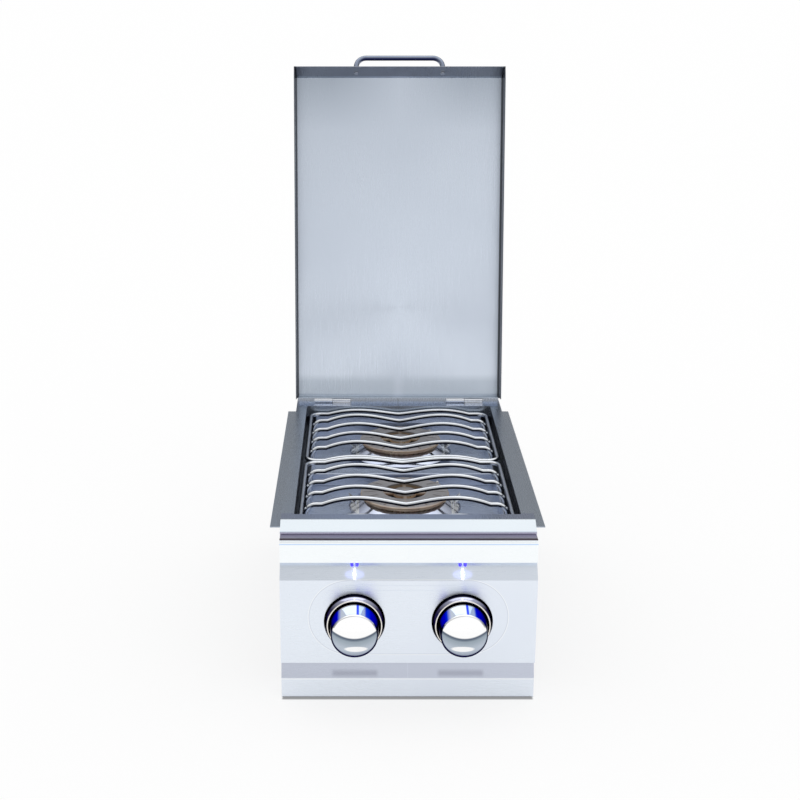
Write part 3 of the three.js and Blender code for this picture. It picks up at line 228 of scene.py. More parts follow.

# These measures place painted reflections, highlights and shade on the knobs, and the painted line round the panel's
# field
# Where a point lies round the nearer knob. Lower narrows behind the face and sits over the axis, Field is the way from
# the line between both axes, Across is signed to the right, Smile bends down at its ends, and Shine is a flat oval
knobMeasures = {
    "lowerLift": 0.003, "lowerStart": 0.094, "smileBend": 10.5,
    "shineShift": (0.002, 0, 0.0155), "shineStretch": (65, 0, 235),
}
turnGroup, given, made = newGroup(
    "roundTheKnob",
    [("Axis", "NodeSocketVector", (0, 0, 0))],
    ["Radius", "Height", "Depth", "Lower", "Field", "Across", "Smile", "Shine"],
)
offset = vectorNode(turnGroup, "SUBTRACT", mirroredPlace(turnGroup), given.outputs["Axis"])
flat = vectorNode(turnGroup, "MULTIPLY", offset, (1, 0, 1))
split = axesOf(turnGroup, offset)
handed = mathNode(turnGroup, "SIGN", axesOf(turnGroup, objectPlace(turnGroup))["X"])
across = mathNode(turnGroup, "MULTIPLY", split["X"], handed)
sag = mathNode(turnGroup, "MULTIPLY", mathNode(turnGroup, "MULTIPLY", across, across), knobMeasures["smileBend"])
lifted = vectorNode(turnGroup, "SUBTRACT", flat, (0, 0, knobMeasures["lowerLift"]))
behind = mathNode(turnGroup, "MAXIMUM", mathNode(turnGroup, "ADD", split["Y"], knobMeasures["lowerStart"]))
shifted = vectorNode(turnGroup, "ADD", flat, knobMeasures["shineShift"])
for measure, value in {
    "Radius": lengthOf(turnGroup, flat),
    "Height": split["Z"],
    "Depth": split["Y"],
    "Lower": mathNode(turnGroup, "SUBTRACT", lengthOf(turnGroup, lifted), behind),
    "Field": lengthOf(turnGroup, vectorNode(turnGroup, "MAXIMUM", flat, (0, 0, -far))),
    "Across": across,
    "Smile": mathNode(turnGroup, "SUBTRACT", split["Z"], sag),
    "Shine": lengthOf(turnGroup, vectorNode(turnGroup, "MULTIPLY", shifted, knobMeasures["shineStretch"])),
}.items():
    turnGroup.links.new(value, made.inputs[measure])

# How far a surface looks down, for painted shade on undersides: not at the rods' ends, nor on the feet, which lie past
# x
underShadeReach = {"down": (0.06, 0.4), "sideways": (0.35, 0.75), "x": (0.13, 0.134)}
underGroup, given, made = newGroup("facingDown", [], ["Mask"])
facing = axesOf(underGroup, underGroup.nodes.new("ShaderNodeNewGeometry").outputs["Normal"])
sideways = mathNode(underGroup, "ABSOLUTE", facing["X"])
outward = mathNode(underGroup, "ABSOLUTE", axesOf(underGroup, objectPlace(underGroup))["X"])
mask = spread(underGroup, facing["Z"], 1, 0, *underShadeReach["down"])
for value, reach in ((sideways, underShadeReach["sideways"]), (outward, underShadeReach["x"])):
    mask = mathNode(underGroup, "MULTIPLY", mask, spread(underGroup, value, 1, 0, *reach))
underGroup.links.new(mask, made.inputs["Mask"])
print("shader groups made")


def newMaterial(name, group, values):
    material = bpy.data.materials.new(name)
    material.use_nodes = True
    tree = material.node_tree
    return material, tree, tree.nodes["Principled BSDF"], groupNode(tree, group, values).outputs


bumpDepth = {"grain": 0.0001, "specks": 0.0003, "chrome": 0.0002}  # in metres


def bump(tree, shader, height, strength, distance):
    node = tree.nodes.new("ShaderNodeBump")
    node.inputs["Strength"].default_value = strength
    node.inputs["Distance"].default_value = distance
    tree.links.new(height, node.inputs["Height"])
    tree.links.new(node.outputs["Normal"], shader.inputs["Normal"])


# Lays each zone's painted shade, highlight and reflection colour over the colour so far: a zone is its low and high
# corner, its soft edge and its colour
def paintZones(tree, colour, paintedZones):
    for low, high, soft, tint in paintedZones:
        zone = groupNode(tree, paintedZoneGroup, {"Low": at(*low), "High": at(*high), "Sharpness": 1000 / soft})
        colour = mixColours(tree, zone.outputs["Mask"], colour, tint)
    return colour


# A painted shade line and highlight round both knobs' raised field: half of its full width, and half of its width with
# the soft edges
outlineWidth = {"full": 0.2, "soft": 0.6}


def paintFieldLines(tree, colour, paintedFieldLines):
    full, soft = outlineWidth["full"], outlineWidth["soft"]
    for axis, radius, tint in paintedFieldLines:
        field = groupNode(tree, turnGroup, {"Axis": at(*axis)}).outputs["Field"]
        inner = spread(tree, field, 0, 1, (radius - soft) / 1000, (radius - full) / 1000)
        outer = spread(tree, field, 1, 0, (radius + full) / 1000, (radius + soft) / 1000)
        colour = mixColours(tree, mathNode(tree, "MULTIPLY", inner, outer), colour, tint)
    return colour


# A sheet that was brushed one way: stretch is small along the lines and large across them
def brushedMetal(name, look):
    given = {"Stretch": look["stretch"], "Cloud Size": look["cloudSize"]}
    material, tree, shader, pattern = newMaterial(name, brushGroup, given)
    shader.inputs["Metallic"].default_value = 1
    shader.inputs["Anisotropic"].default_value = look.get("anisotropy", 0)
    if "tangent" in look:
        tangent = tree.nodes.new("ShaderNodeTangent")
        tangent.direction_type = "RADIAL"
        tangent.axis = look["tangent"]
        tree.links.new(tangent.outputs[0], shader.inputs["Tangent"])
    colour = mixColours(tree, spread(tree, pattern["Cloud"], 0, 1), look["colour"], look["shade"])
    colour = paintZones(tree, colour, look.get("paintedZones", []))
    colour = paintFieldLines(tree, colour, look.get("paintedFieldLines", []))
    tree.links.new(colour, shader.inputs["Base Color"])
    grainRough = spread(tree, pattern["Grain"], *look["roughness"])
    cloudRough = spread(tree, pattern["Cloud"], -look["smear"], look["smear"])
    tree.links.new(mathNode(tree, "ADD", grainRough, cloudRough), shader.inputs["Roughness"])
    bump(tree, shader, pattern["Grain"], look["bump"], bumpDepth["grain"])
    return material


# A polished, cast or coated surface: specks for its bump, patches for its tint. Bands paint reflections and shade on it
# by a measure round a knob
def speckledMetal(name, look):
    given = {"Size": look["size"], "Patch Size": look["patchSize"]}
    material, tree, shader, pattern = newMaterial(name, speckGroup, given)
    shader.inputs["Metallic"].default_value = look.get("metal", 1)
    shader.inputs["Coat Weight"].default_value = look.get("coat", 0)
    if "edgeTint" in look:
        shader.inputs["Specular Tint"].default_value = (*look["edgeTint"], 1)
    colour = mixColours(tree, spread(tree, pattern["Patches"], 0, 1), look["colour"], look["shade"])
    colour = paintZones(tree, colour, look.get("paintedZones", []))
    # Painted shade where the surface faces down
    if "underShade" in look:
        under = groupNode(tree, underGroup, {})
        colour = mixColours(tree, under.outputs["Mask"], colour, look["underShade"])
    if "paintedBands" in look:
        spot = groupNode(tree, turnGroup, {"Axis": at(knobAxis["x"], 0, knobAxis["z"])})
        for measure, start, end, tint in look["paintedBands"]:
            mask = spread(tree, spot.outputs[measure], 0, 1, start / 1000, end / 1000)
            colour = mixColours(tree, mask, colour, tint)
    tree.links.new(colour, shader.inputs["Base Color"])
    tree.links.new(spread(tree, pattern["Patches"], *look["roughness"]), shader.inputs["Roughness"])
    bump(tree, shader, pattern["Specks"], look["bump"], look.get("depth", bumpDepth["specks"]))
    return material


# A lit lens in two blues
def litLens(name, look):
    given = {"Size": look["size"], "Patch Size": look["patchSize"]}
    material, tree, shader, pattern = newMaterial(name, speckGroup, given)
    colour = mixColours(tree, spread(tree, pattern["Patches"], 0, 1), look["colour"], look["bright"])
    tree.links.new(colour, shader.inputs["Base Color"])
    tree.links.new(colour, shader.inputs["Emission Color"])
    shader.inputs["Emission Strength"].default_value = look["glow"]
    shader.inputs["Roughness"].default_value = look["roughness"]
    return material


lidSteel = brushedMetal("lidSteel", {
    "colour": (0.66, 0.715, 0.80), "shade": (0.63, 0.685, 0.775), "roughness": (0.26, 0.34), "smear": 0.03,
    "stretch": (2200, 40, 24), "cloudSize": 4, "bump": 0.05, "anisotropy": 0.4, "tangent": "Z",
    "paintedZones": [
        ((-1, -far, 440), (far, far, far), 110, (0.42, 0.47, 0.54)),  # top: painted shade
        ((-1, -far, -far), (far, far, 130), 110, (0.75, 0.81, 0.90)),  # lower part: painted highlight, lighter
        ((-1, -far, -far), (far, far, 42), 12, (0.57, 0.63, 0.71)),  # foot, over the hinges: painted shade
        ((-1, 590, 526.5), (far, 660, far), 1, (0.34, 0.36, 0.41)),  # front wall, at the top while open: painted shade
        ((166.4, -far, -far), (172, far, far), 0.8, (0.12, 0.13, 0.15)),  # side walls: painted shade, near black
    ],
})
frameSteel = brushedMetal("frameSteel", {
    "colour": (0.46, 0.51, 0.58), "shade": (0.41, 0.46, 0.54), "roughness": (0.24, 0.32), "smear": 0.03,
    "stretch": (2600, 40, 2600), "cloudSize": 7, "bump": 0.04,
    "paintedZones": [
        ((-1, 1, -2), (far, 24, far), 4, (0.29, 0.32, 0.48)),  # front border: painted reflection, darker and bluer
        ((-1, 506, -2), (far, far, far), 3, (0.76, 0.83, 0.98)),  # rear border: painted reflection, lighter
        ((146, 18.4, -60), (152.7, 500, -1.3), 0.6, (0.045, 0.05, 0.065)),  # inner edges beside the pan: painted shade, near black
        ((-1, -30, -9.4), (far, 1, far), 1, (0.62, 0.66, 0.69)),  # apron: painted highlight, lighter
        ((-1, -30, -30), (far, 1, -9.4), 0.6, (0.52, 0.50, 0.63)),  # apron's lip: painted shade, darker than the apron
    ],
})
fieldAxis = (77.97, 0, -117)
panelSteel = brushedMetal("panelSteel", {
    "colour": (0.81, 0.86, 0.93), "shade": (0.79, 0.84, 0.92), "roughness": (0.27, 0.31), "smear": 0.01,
    "stretch": (30, 2400, 2400), "cloudSize": 6, "bump": 0.025, "anisotropy": 0.5, "tangent": "X",
    "paintedZones": [
        ((-1, -60, -43.5), (far, -41, far), 1.5, (0.95, 0.985, 1.0)),  # nose: painted highlight
        ((-1, -60, -18), (far, -42.5, -16.4), 0.3, (0.55, 0.72, 0.97)),  # line along the nose: painted bluish highlight
        ((-1, -34, -13.6), (far, 10, far), 0.8, (0.38, 0.36, 0.46)),  # ledge behind the nose: painted reflection, lavender grey
        ((-1, -41.5, -13.6), (far, -34, far), 0.8, (0.085, 0.055, 0.075)),  # ledge's dark front: painted shade
        ((-1, -60, -208.4), (far, -20, -184), 1.5, (0.56, 0.59, 0.68)),  # recess over the foot strip: painted shade
        ((38, -60, -207.5), (103, -20, -195), 5, (0.42, 0.44, 0.52)),  # each knob's reflection in it
        ((-1, -60, -184.6), (far, -20, -182.6), 0.5, (0.22, 0.22, 0.27)),  # fold over it: painted shade line
        ((-1, -60, -209.4), (far, -20, -208.2), 0.4, (1.0, 1.0, 1.0)),  # fold under it: painted highlight line
    ],
    # painted shade line and highlight round the knobs' raised field
    "paintedFieldLines": [(fieldAxis, 52.6, (0.66, 0.70, 0.78)), (fieldAxis, 53.7, (0.92, 0.95, 0.98))],
})
panSteel = brushedMetal("panSteel", {
    "colour": (0.66, 0.72, 0.85), "shade": (0.58, 0.64, 0.78), "roughness": (0.24, 0.36), "smear": 0.03,
    "stretch": (50, 1800, 1800), "cloudSize": 12, "bump": 0.05,
    "paintedZones": [((136, -far, -30), (far, far, far), 2, (0.045, 0.05, 0.065))],  # ledge at the sides: painted shade, near black
})
zincSheet = speckledMetal("zincSheet", {
    "colour": (0.52, 0.54, 0.57), "shade": (0.42, 0.44, 0.47), "roughness": (0.38, 0.55),
    "size": 120, "patchSize": 30, "bump": 0.05,
})
# Grate rods: painted shade, near black, where they face down
polishedRod = speckledMetal("polishedRod", {
    "colour": (0.86, 0.88, 0.90), "shade": (0.74, 0.76, 0.80), "roughness": (0.10, 0.18),
    "size": 900, "patchSize": 40, "bump": 0.02, "edgeTint": (0.25, 0.25, 0.28), "underShade": (0.02, 0.02, 0.03),
})
hingeSteel = speckledMetal("hingeSteel", {
    "colour": (0.90, 0.91, 0.94), "shade": (0.80, 0.82, 0.86), "roughness": (0.10, 0.2),
    "size": 900, "patchSize": 40, "bump": 0.02, "edgeTint": (0.2, 0.2, 0.22),
})
polishedDish = speckledMetal("polishedDish", {
    "colour": (0.66, 0.70, 0.82), "shade": (0.52, 0.56, 0.70), "roughness": (0.08, 0.2),
    "size": 700, "patchSize": 25, "bump": 0.02,
    "paintedZones": [((64.5, -far, -34), (far, far, far), 1, (0.95, 0.97, 1.0))],  # ears: painted highlight
})
burntBrass = speckledMetal("burntBrass", {
    "colour": (0.72, 0.55, 0.36), "shade": (0.48, 0.32, 0.22), "roughness": (0.26, 0.42), "metal": 0.55,
    "size": 900, "patchSize": 45, "bump": 0.08,
    "paintedZones": [
        ((-1, -far, -17), (far, far, far), 2, (0.40, 0.38, 0.38)),  # tops of the ring and the centre: painted reflection, greyer
        ((-1, -far, -60), (22, far, -17), 12, (0.86, 0.50, 0.34)),  # ring's side, redder and lighter in the middle: painted light on its burnt colour
    ],
})
machinedBrass = speckledMetal("machinedBrass", {
    "colour": (0.68, 0.52, 0.26), "shade": (0.55, 0.41, 0.19), "roughness": (0.2, 0.34),
    "size": 900, "patchSize": 60, "bump": 0.03,
})
darkCasting = speckledMetal("darkCasting", {
    "colour": (0.10, 0.10, 0.11), "shade": (0.05, 0.05, 0.055), "roughness": (0.5, 0.7),
    "size": 800, "patchSize": 60, "bump": 0.4, "metal": 0.6,
})
brightZinc = speckledMetal("brightZinc", {
    "colour": (0.62, 0.64, 0.67), "shade": (0.5, 0.52, 0.56), "roughness": (0.2, 0.35),
    "size": 900, "patchSize": 60, "bump": 0.05,
})
glazedCeramic = speckledMetal("glazedCeramic", {
    "colour": (0.82, 0.80, 0.75), "shade": (0.7, 0.67, 0.6), "roughness": (0.2, 0.4),
    "size": 700, "patchSize": 80, "bump": 0.03, "metal": 0, "coat": 0.4,
})
# Lid handle: painted shade, dark blue, where it faces down
handleChrome = speckledMetal("handleChrome", {
    "colour": (0.36, 0.40, 0.50), "shade": (0.29, 0.33, 0.43), "roughness": (0.08, 0.16),
    "size": 1200, "patchSize": 30, "bump": 0.01, "edgeTint": (0.02, 0.02, 0.04), "underShade": (0.03, 0.035, 0.10),
})
# Bands lie over each other in this order, and are painted reflections and shade: the lamps and the room round its side,
# then its pale face with the counter's dark line, the room below and a lamp's highlight, and last painted shade on its
# skirt and rim
knobChrome = speckledMetal("knobChrome", {
    "colour": (0.90, 0.94, 1.0), "shade": (0.85, 0.90, 0.97), "roughness": (0.03, 0.06),
    "size": 1200, "patchSize": 35, "bump": 0.004, "depth": bumpDepth["chrome"], "edgeTint": (0.0, 0.0, 0.05),
    "paintedBands": [
        ("Across", -17, -22, (0.09, 0.13, 0.98)),
        ("Across", 2.2, 3.2, (0.09, 0.13, 0.98)),
        ("Across", 5.4, 6.4, (0.62, 0.74, 1.0)),
        ("Across", 12.5, 15, (0.09, 0.13, 0.98)),
        ("Height", 14, 4, (0.01, 0.01, 0.08)),
        ("Depth", -95.6, -97.2, (1.0, 1.0, 1.0)),
        ("Smile", 1.2, -0.6, (0.10, 0.13, 0.18)),
        ("Smile", -1.4, -5, (0.34, 0.40, 0.46)),
        ("Smile", -6, -16, (0.50, 0.56, 0.64)),
        ("Smile", -20, -27, (0.32, 0.36, 0.46)),
        ("Shine", 1060, 820, (1.0, 1.0, 1.0)),
        ("Depth", -70.4, -69.6, (0.01, 0.01, 0.015)),
        ("Lower", 28.3, 29.3, (0.015, 0.015, 0.07)),
    ],
})
# Bezel, painted: shade all round, a pale reflection on top, a highlight on the rim, dark rings at its foot and at the
# knob's gap
bezelChrome = speckledMetal("bezelChrome", {
    "colour": (0.09, 0.08, 0.14), "shade": (0.06, 0.05, 0.10), "roughness": (0.06, 0.14),
    "size": 1200, "patchSize": 35, "bump": 0.006, "depth": bumpDepth["chrome"], "edgeTint": (0.05, 0.04, 0.08),
    "paintedBands": [
        ("Height", 22, 38, (0.70, 0.68, 0.80)),
        ("Depth", -66.8, -67.4, (0.90, 0.86, 0.80)),
        ("Radius", 38.2, 38.7, (0.01, 0.01, 0.015)),
        ("Radius", 35.0, 34.6, (0.01, 0.01, 0.015)),
    ],
})
lampGlow = litLens("lampGlow", {
    "colour": (0.03, 0.02, 0.80), "bright": (0.06, 0.05, 0.95), "glow": 1.0, "roughness": 0.15,
    "size": 500, "patchSize": 200,
})
print("materials made")


def deselectAll():
    if bpy.context.object and bpy.context.object.mode != "OBJECT":
        bpy.ops.object.mode_set(mode="OBJECT")
    bpy.ops.object.select_all(action="DESELECT")


def selectOnly(piece):
    deselectAll()
    bpy.context.view_layer.objects.active = piece
    piece.select_set(True)


def editAll(piece):
    selectOnly(piece)
    bpy.ops.object.mode_set(mode="EDIT")
    bpy.ops.mesh.select_all(action="SELECT")


def applyAll(piece):
    selectOnly(piece)
    for modifier in list(piece.modifiers):
        bpy.ops.object.modifier_apply(modifier=modifier.name)


def roundEdges(piece, width, angle):
    bevel = piece.modifiers.new("roundedEdges", "BEVEL")
    bevel.width = width / 1000
    bevel.segments = 2
    bevel.limit_method = "ANGLE"
    bevel.angle_limit = math.radians(angle)
    bevel.use_clamp_overlap = True
    applyAll(piece)


def smooth(piece, angle):
    selectOnly(piece)
    bpy.ops.object.shade_smooth_by_angle(angle=math.radians(angle))


# Gives a piece its finish and body, and hides the plain nodes that it stands for
def dress(piece, material, body, slot, *replaced):
    piece.data.materials.clear()
    piece.data.materials.append(material)
    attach(piece, body)
    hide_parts(*replaced)


# Points closer than this are one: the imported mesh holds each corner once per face, drawn lines meet themselves
mergeWithin = {"packed": 0.00001, "drawn": 0.000005}


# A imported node's shape with its doubles merged and its flat faces joined. Edges sharper than edgeAngle are rounded,
# unless the width is zero, and edges flatter than smoothAngle are shaded smooth
def refined(node, name, width, edgeAngle, smoothAngle):
    source = nodes[node]
    selectOnly(source)
    bpy.ops.object.duplicate()
    piece = bpy.context.object
    piece.name = name
    piece.data.name = name
    bpy.ops.object.parent_clear(type="CLEAR_KEEP_TRANSFORM")
    bpy.ops.object.transform_apply(location=True, rotation=True, scale=True)
    if piece.data.has_custom_normals:
        bpy.ops.mesh.customdata_custom_splitnormals_clear()
    editAll(piece)
    bpy.ops.mesh.remove_doubles(threshold=mergeWithin["packed"])
    bpy.ops.mesh.dissolve_limited(angle_limit=math.radians(1))
    deselectAll()
    if width > 0:
        roundEdges(piece, width, edgeAngle)
    smooth(piece, smoothAngle)
    weighted = piece.modifiers.new("flatFaces", "WEIGHTED_NORMAL")  # large sheet faces shade flat
    weighted.keep_sharp = True
    applyAll(piece)
    return piece


# An open line of edges, left in edit mode
def edgeLine(name, points):
    deselectAll()
    bpy.ops.mesh.primitive_plane_add(size=0.001)
    piece = bpy.context.object
    piece.name = name
    editAll(piece)
    bpy.ops.mesh.merge(type="CENTER")
    bpy.ops.transform.translate(value=points[0])
    for before, after in zip(points, points[1:]):
        bpy.ops.mesh.extrude_region_move(TRANSFORM_OT_translate={"value": after - before})
    return piece


# Closes the mesh in edit mode, and turns its faces outward
def closeDrawn():
    bpy.ops.mesh.select_all(action="SELECT")
    bpy.ops.mesh.remove_doubles(threshold=mergeWithin["drawn"])
    bpy.ops.mesh.normals_make_consistent(inside=False)
    deselectAll()


# A turned piece: a profile of radius and height, spun round the axis
def turned(name, profile, centre, axis, faces):
    sideways = Vector((1, 0, 0))
    along = Vector(axis)
    piece = edgeLine(name, [centre + (sideways * radius + along * height) / 1000 for radius, height in profile])
    piece.data.name = name
    bpy.ops.mesh.select_all(action="SELECT")
    bpy.ops.mesh.spin(steps=faces, angle=math.tau, center=centre, axis=along)
    closeDrawn()
    return piece


# A round rod along a line of points
def rod(name, points, radius, faces=6):
    selectOnly(edgeLine(name, points))
    bpy.ops.object.convert(target="CURVE")
    piece = bpy.context.object
    piece.data.bevel_depth = radius / 1000
    piece.data.bevel_resolution = faces
    piece.data.use_fill_caps = True
    bpy.ops.object.convert(target="MESH")
    piece = bpy.context.object
    piece.data.name = name
    editAll(piece)
    closeDrawn()
    return piece


def joined(name, pieces):
    deselectAll()
    for piece in pieces:
        piece.select_set(True)
    bpy.context.view_layer.objects.active = pieces[0]
    bpy.ops.object.join()
    whole = bpy.context.object
    whole.name = name
    whole.data.name = name
    return whole


# Points of a line with rounded corners
def bentLine(corners, radius, steps=8):
    points = [corners[0]]
    for before, corner, after in zip(corners, corners[1:], corners[2:]):
        inward = (corner - before).normalized()
        outward = (after - corner).normalized()
        turn = inward.angle(outward)
        start = corner - inward * (radius / 1000) * math.tan(turn / 2)
        side = (outward - inward * outward.dot(inward)).normalized()
        for step in range(steps + 1):
            angle = turn * step / steps
            points.append(start + (inward * math.sin(angle) + side * (1 - math.cos(angle))) * radius / 1000)
    points.append(corners[-1])
    return points


sheetAngles = {"edgeAngle": 28, "smoothAngle": 35}
sheetParts = {
    "topFrame": ("top_frame", frameSteel, "housing", "brushed_steel", 0.5),
    "leftCounterFlange": ("left_counter_flange", frameSteel, "housing", "brushed_steel", 0.5),
    "rightCounterFlange": ("right_counter_flange", frameSteel, "housing", "brushed_steel", 0.5),
    "lidShell": ("lid_skin", lidSteel, "lid", "brushed_steel", 0.5),
    "controlPanel": ("control_panel", panelSteel, "housing", "panel_steel", 0.4),
    "leftPanelEnd": ("left_panel_end", panelSteel, "housing", "panel_steel", 0.4),
    "rightPanelEnd": ("right_panel_end", panelSteel, "housing", "panel_steel", 0.4),
    "burnerPan": ("burner_pan", panSteel, "housing", "pan_steel", 0.4),
    "grateSupport": ("grate_support", panSteel, "housing", "pan_steel", 0.3),
    "fireboxWrap": ("firebox_wrap", zincSheet, "housing", "galvanised_sheet", 0.4),
    "fireboxFront": ("firebox_front_wall", zincSheet, "housing", "galvanised_sheet", 0.4),
    "fireboxRear": ("firebox_rear_wall", zincSheet, "housing", "galvanised_sheet", 0.4),
    "heatShield": ("heat_shield", zincSheet, "housing", "galvanised_sheet", 0.3),
    "leftHingeBase": ("left_hinge_base", hingeSteel, "housing", "polished_steel", 0.3),
    "rightHingeBase": ("right_hinge_base", hingeSteel, "housing", "polished_steel", 0.3),
    "leftLidLeaf": ("left_lid_hinge_leaf", hingeSteel, "lid", "polished_steel", 0.3),
    "rightLidLeaf": ("right_lid_hinge_leaf", hingeSteel, "lid", "polished_steel", 0.3),
}
for name, (node, material, body, slot, width) in sheetParts.items():
    dress(refined(node, name, width, **sheetAngles), material, body, slot, node)
print("sheet metal rounded")

smallEdges = {"width": 0.25, "edgeAngle": 40, "smoothAngle": 42}
smallParts = {
    "frontVenturi": ("front_venturi_tube", zincSheet, "housing", "galvanised_sheet"),
    "rearVenturi": ("rear_venturi_tube", zincSheet, "housing", "galvanised_sheet"),
    "gasPipe": ("gas_pipe", zincSheet, "housing", "galvanised_sheet"),
    "gasPipePlug": ("gas_pipe_plug", machinedBrass, "housing", "gas_brass"),
    "gasInlet": ("gas_inlet_fitting", machinedBrass, "housing", "gas_brass"),
    "leftHingePin": ("left_hinge_pin", brightZinc, "housing", "zinc_fastener"),
    "rightHingePin": ("right_hinge_pin", brightZinc, "housing", "zinc_fastener"),
}
for side in ("left", "right"):
    smallParts[side + "ValveBody"] = (side + "_valve_body", machinedBrass, "housing", "gas_brass")
    smallParts[side + "GasJet"] = (side + "_gas_jet", machinedBrass, "housing", "gas_brass")
    smallParts[side + "ValvePlug"] = (side + "_valve_plug", machinedBrass, side + "_valve_rotor", "gas_brass")
    smallParts[side + "ValveStem"] = (side + "_valve_stem", machinedBrass, side + "_knob", "gas_brass")
    smallParts[side + "HandleScrew"] = (side + "_handle_screw", brightZinc, "lid", "zinc_fastener")
    for end in ("front", "rear"):
        smallParts[side + end.title() + "FlangeScrew"] = (
            side + "_flange_screw_" + end, brightZinc, "housing", "zinc_fastener")
for name, (node, material, body, slot) in smallParts.items():
    dress(refined(node, name, **smallEdges), material, body, slot, node)
print("pipes, valves and fasteners dressed")

grateBars = {
    "starts": {"front": 27, "rear": 268}, "radius": 3.25, "length": 232, "halfWidth": 144.5, "frameDrop": 12,
    "corner": 16, "lap": 6, "count": 4, "spacing": 45, "crest": 1.5, "dip": -8, "frameCrest": -5.5, "crestX": 67.915,
    "bendX": 116, "footInset": 4.6, "footRound": 15, "foot": -26.2, "power": 1.25, "steps": 14, "cornerSteps": 12,
    "smoothAngle": 50,
}


# A bar that dips in the middle and rises to a crest at each side. A high bar then bends down to its foot, and a bar of
# the frame, which has none, runs on to the frame's corner
def archedBar(y, crest, dip, foot):
    look = grateBars
    half = []
    steps = look["steps"]
    for i in range(steps + 1):
        share = i / steps
        half.append((look["crestX"] * share, dip + (crest - dip) * math.sin(share * math.pi / 2) ** look["power"]))
    for i in range(1, steps + 1):
        share = i / steps
        half.append((look["crestX"] + (look["bendX"] - look["crestX"]) * share, crest - (crest - dip) * share ** 2))
    right = [at(x, y, z) for x, z in half]
    if foot is None:
        right.append(at(look["halfWidth"] - look["corner"], y, dip))
    else:
        footX = look["halfWidth"] - look["footInset"]
        right += bentLine([right[-1], at(footX, y, dip), at(footX, y, foot)], look["footRound"])[1:]
    left = [Vector((-point.x, point.y, point.z)) for point in reversed(right[1:])]
    return left + right


for name, start in grateBars["starts"].items():
    look = grateBars
    end = start + look["length"]
    rods = []
    for side in (-1, 1):
        x = side * look["halfWidth"]
        inner = x - side * (look["corner"] + look["lap"])
        corners = [at(inner, start, -look["frameDrop"]), at(x, start, -look["frameDrop"]),
                   at(x, end, -look["frameDrop"]), at(inner, end, -look["frameDrop"])]
        rods.append(rod("sideRod", bentLine(corners, look["corner"], look["cornerSteps"]), look["radius"]))
    for y in (start, end):
        rods.append(rod("frameRod", archedBar(y, look["frameCrest"], -look["frameDrop"], None), look["radius"]))
    for i in range(look["count"]):
        y = start + look["length"] / 2 + (i - (look["count"] - 1) / 2) * look["spacing"]
        rods.append(rod("highBar", archedBar(y, look["crest"], look["dip"], look["foot"]), look["radius"]))
    grate = joined(name + "GrateRods", rods)
    smooth(grate, look["smoothAngle"])
    dress(grate, polishedRod, name + "_grate", "polished_steel", name + "_grate")
print("grates bent and joined")

burnerParts = {
    "BurnerRing": ("_burner_ring", burntBrass, "burner_brass", 0.3, 30, 40),
    "BurnerCentre": ("_burner_centre", burntBrass, "burner_brass", 0.4, 30, 40),
    "BurnerBase": ("_burner_base", darkCasting, "burner_casting", 0, 30, 40),
    "DripBowl": ("_drip_bowl", polishedDish, "polished_steel", 0.3, 30, 40),
    "Igniter": ("_igniter", glazedCeramic, "igniter_ceramic", 0.2, 40, 45),
}
for end in ("front", "rear"):
    for name, (node, material, slot, width, edgeAngle, smoothAngle) in burnerParts.items():
        piece = refined(end + node, end + name, width, edgeAngle, smoothAngle)
        dress(piece, material, "housing", slot, end + node)
print("burners made")

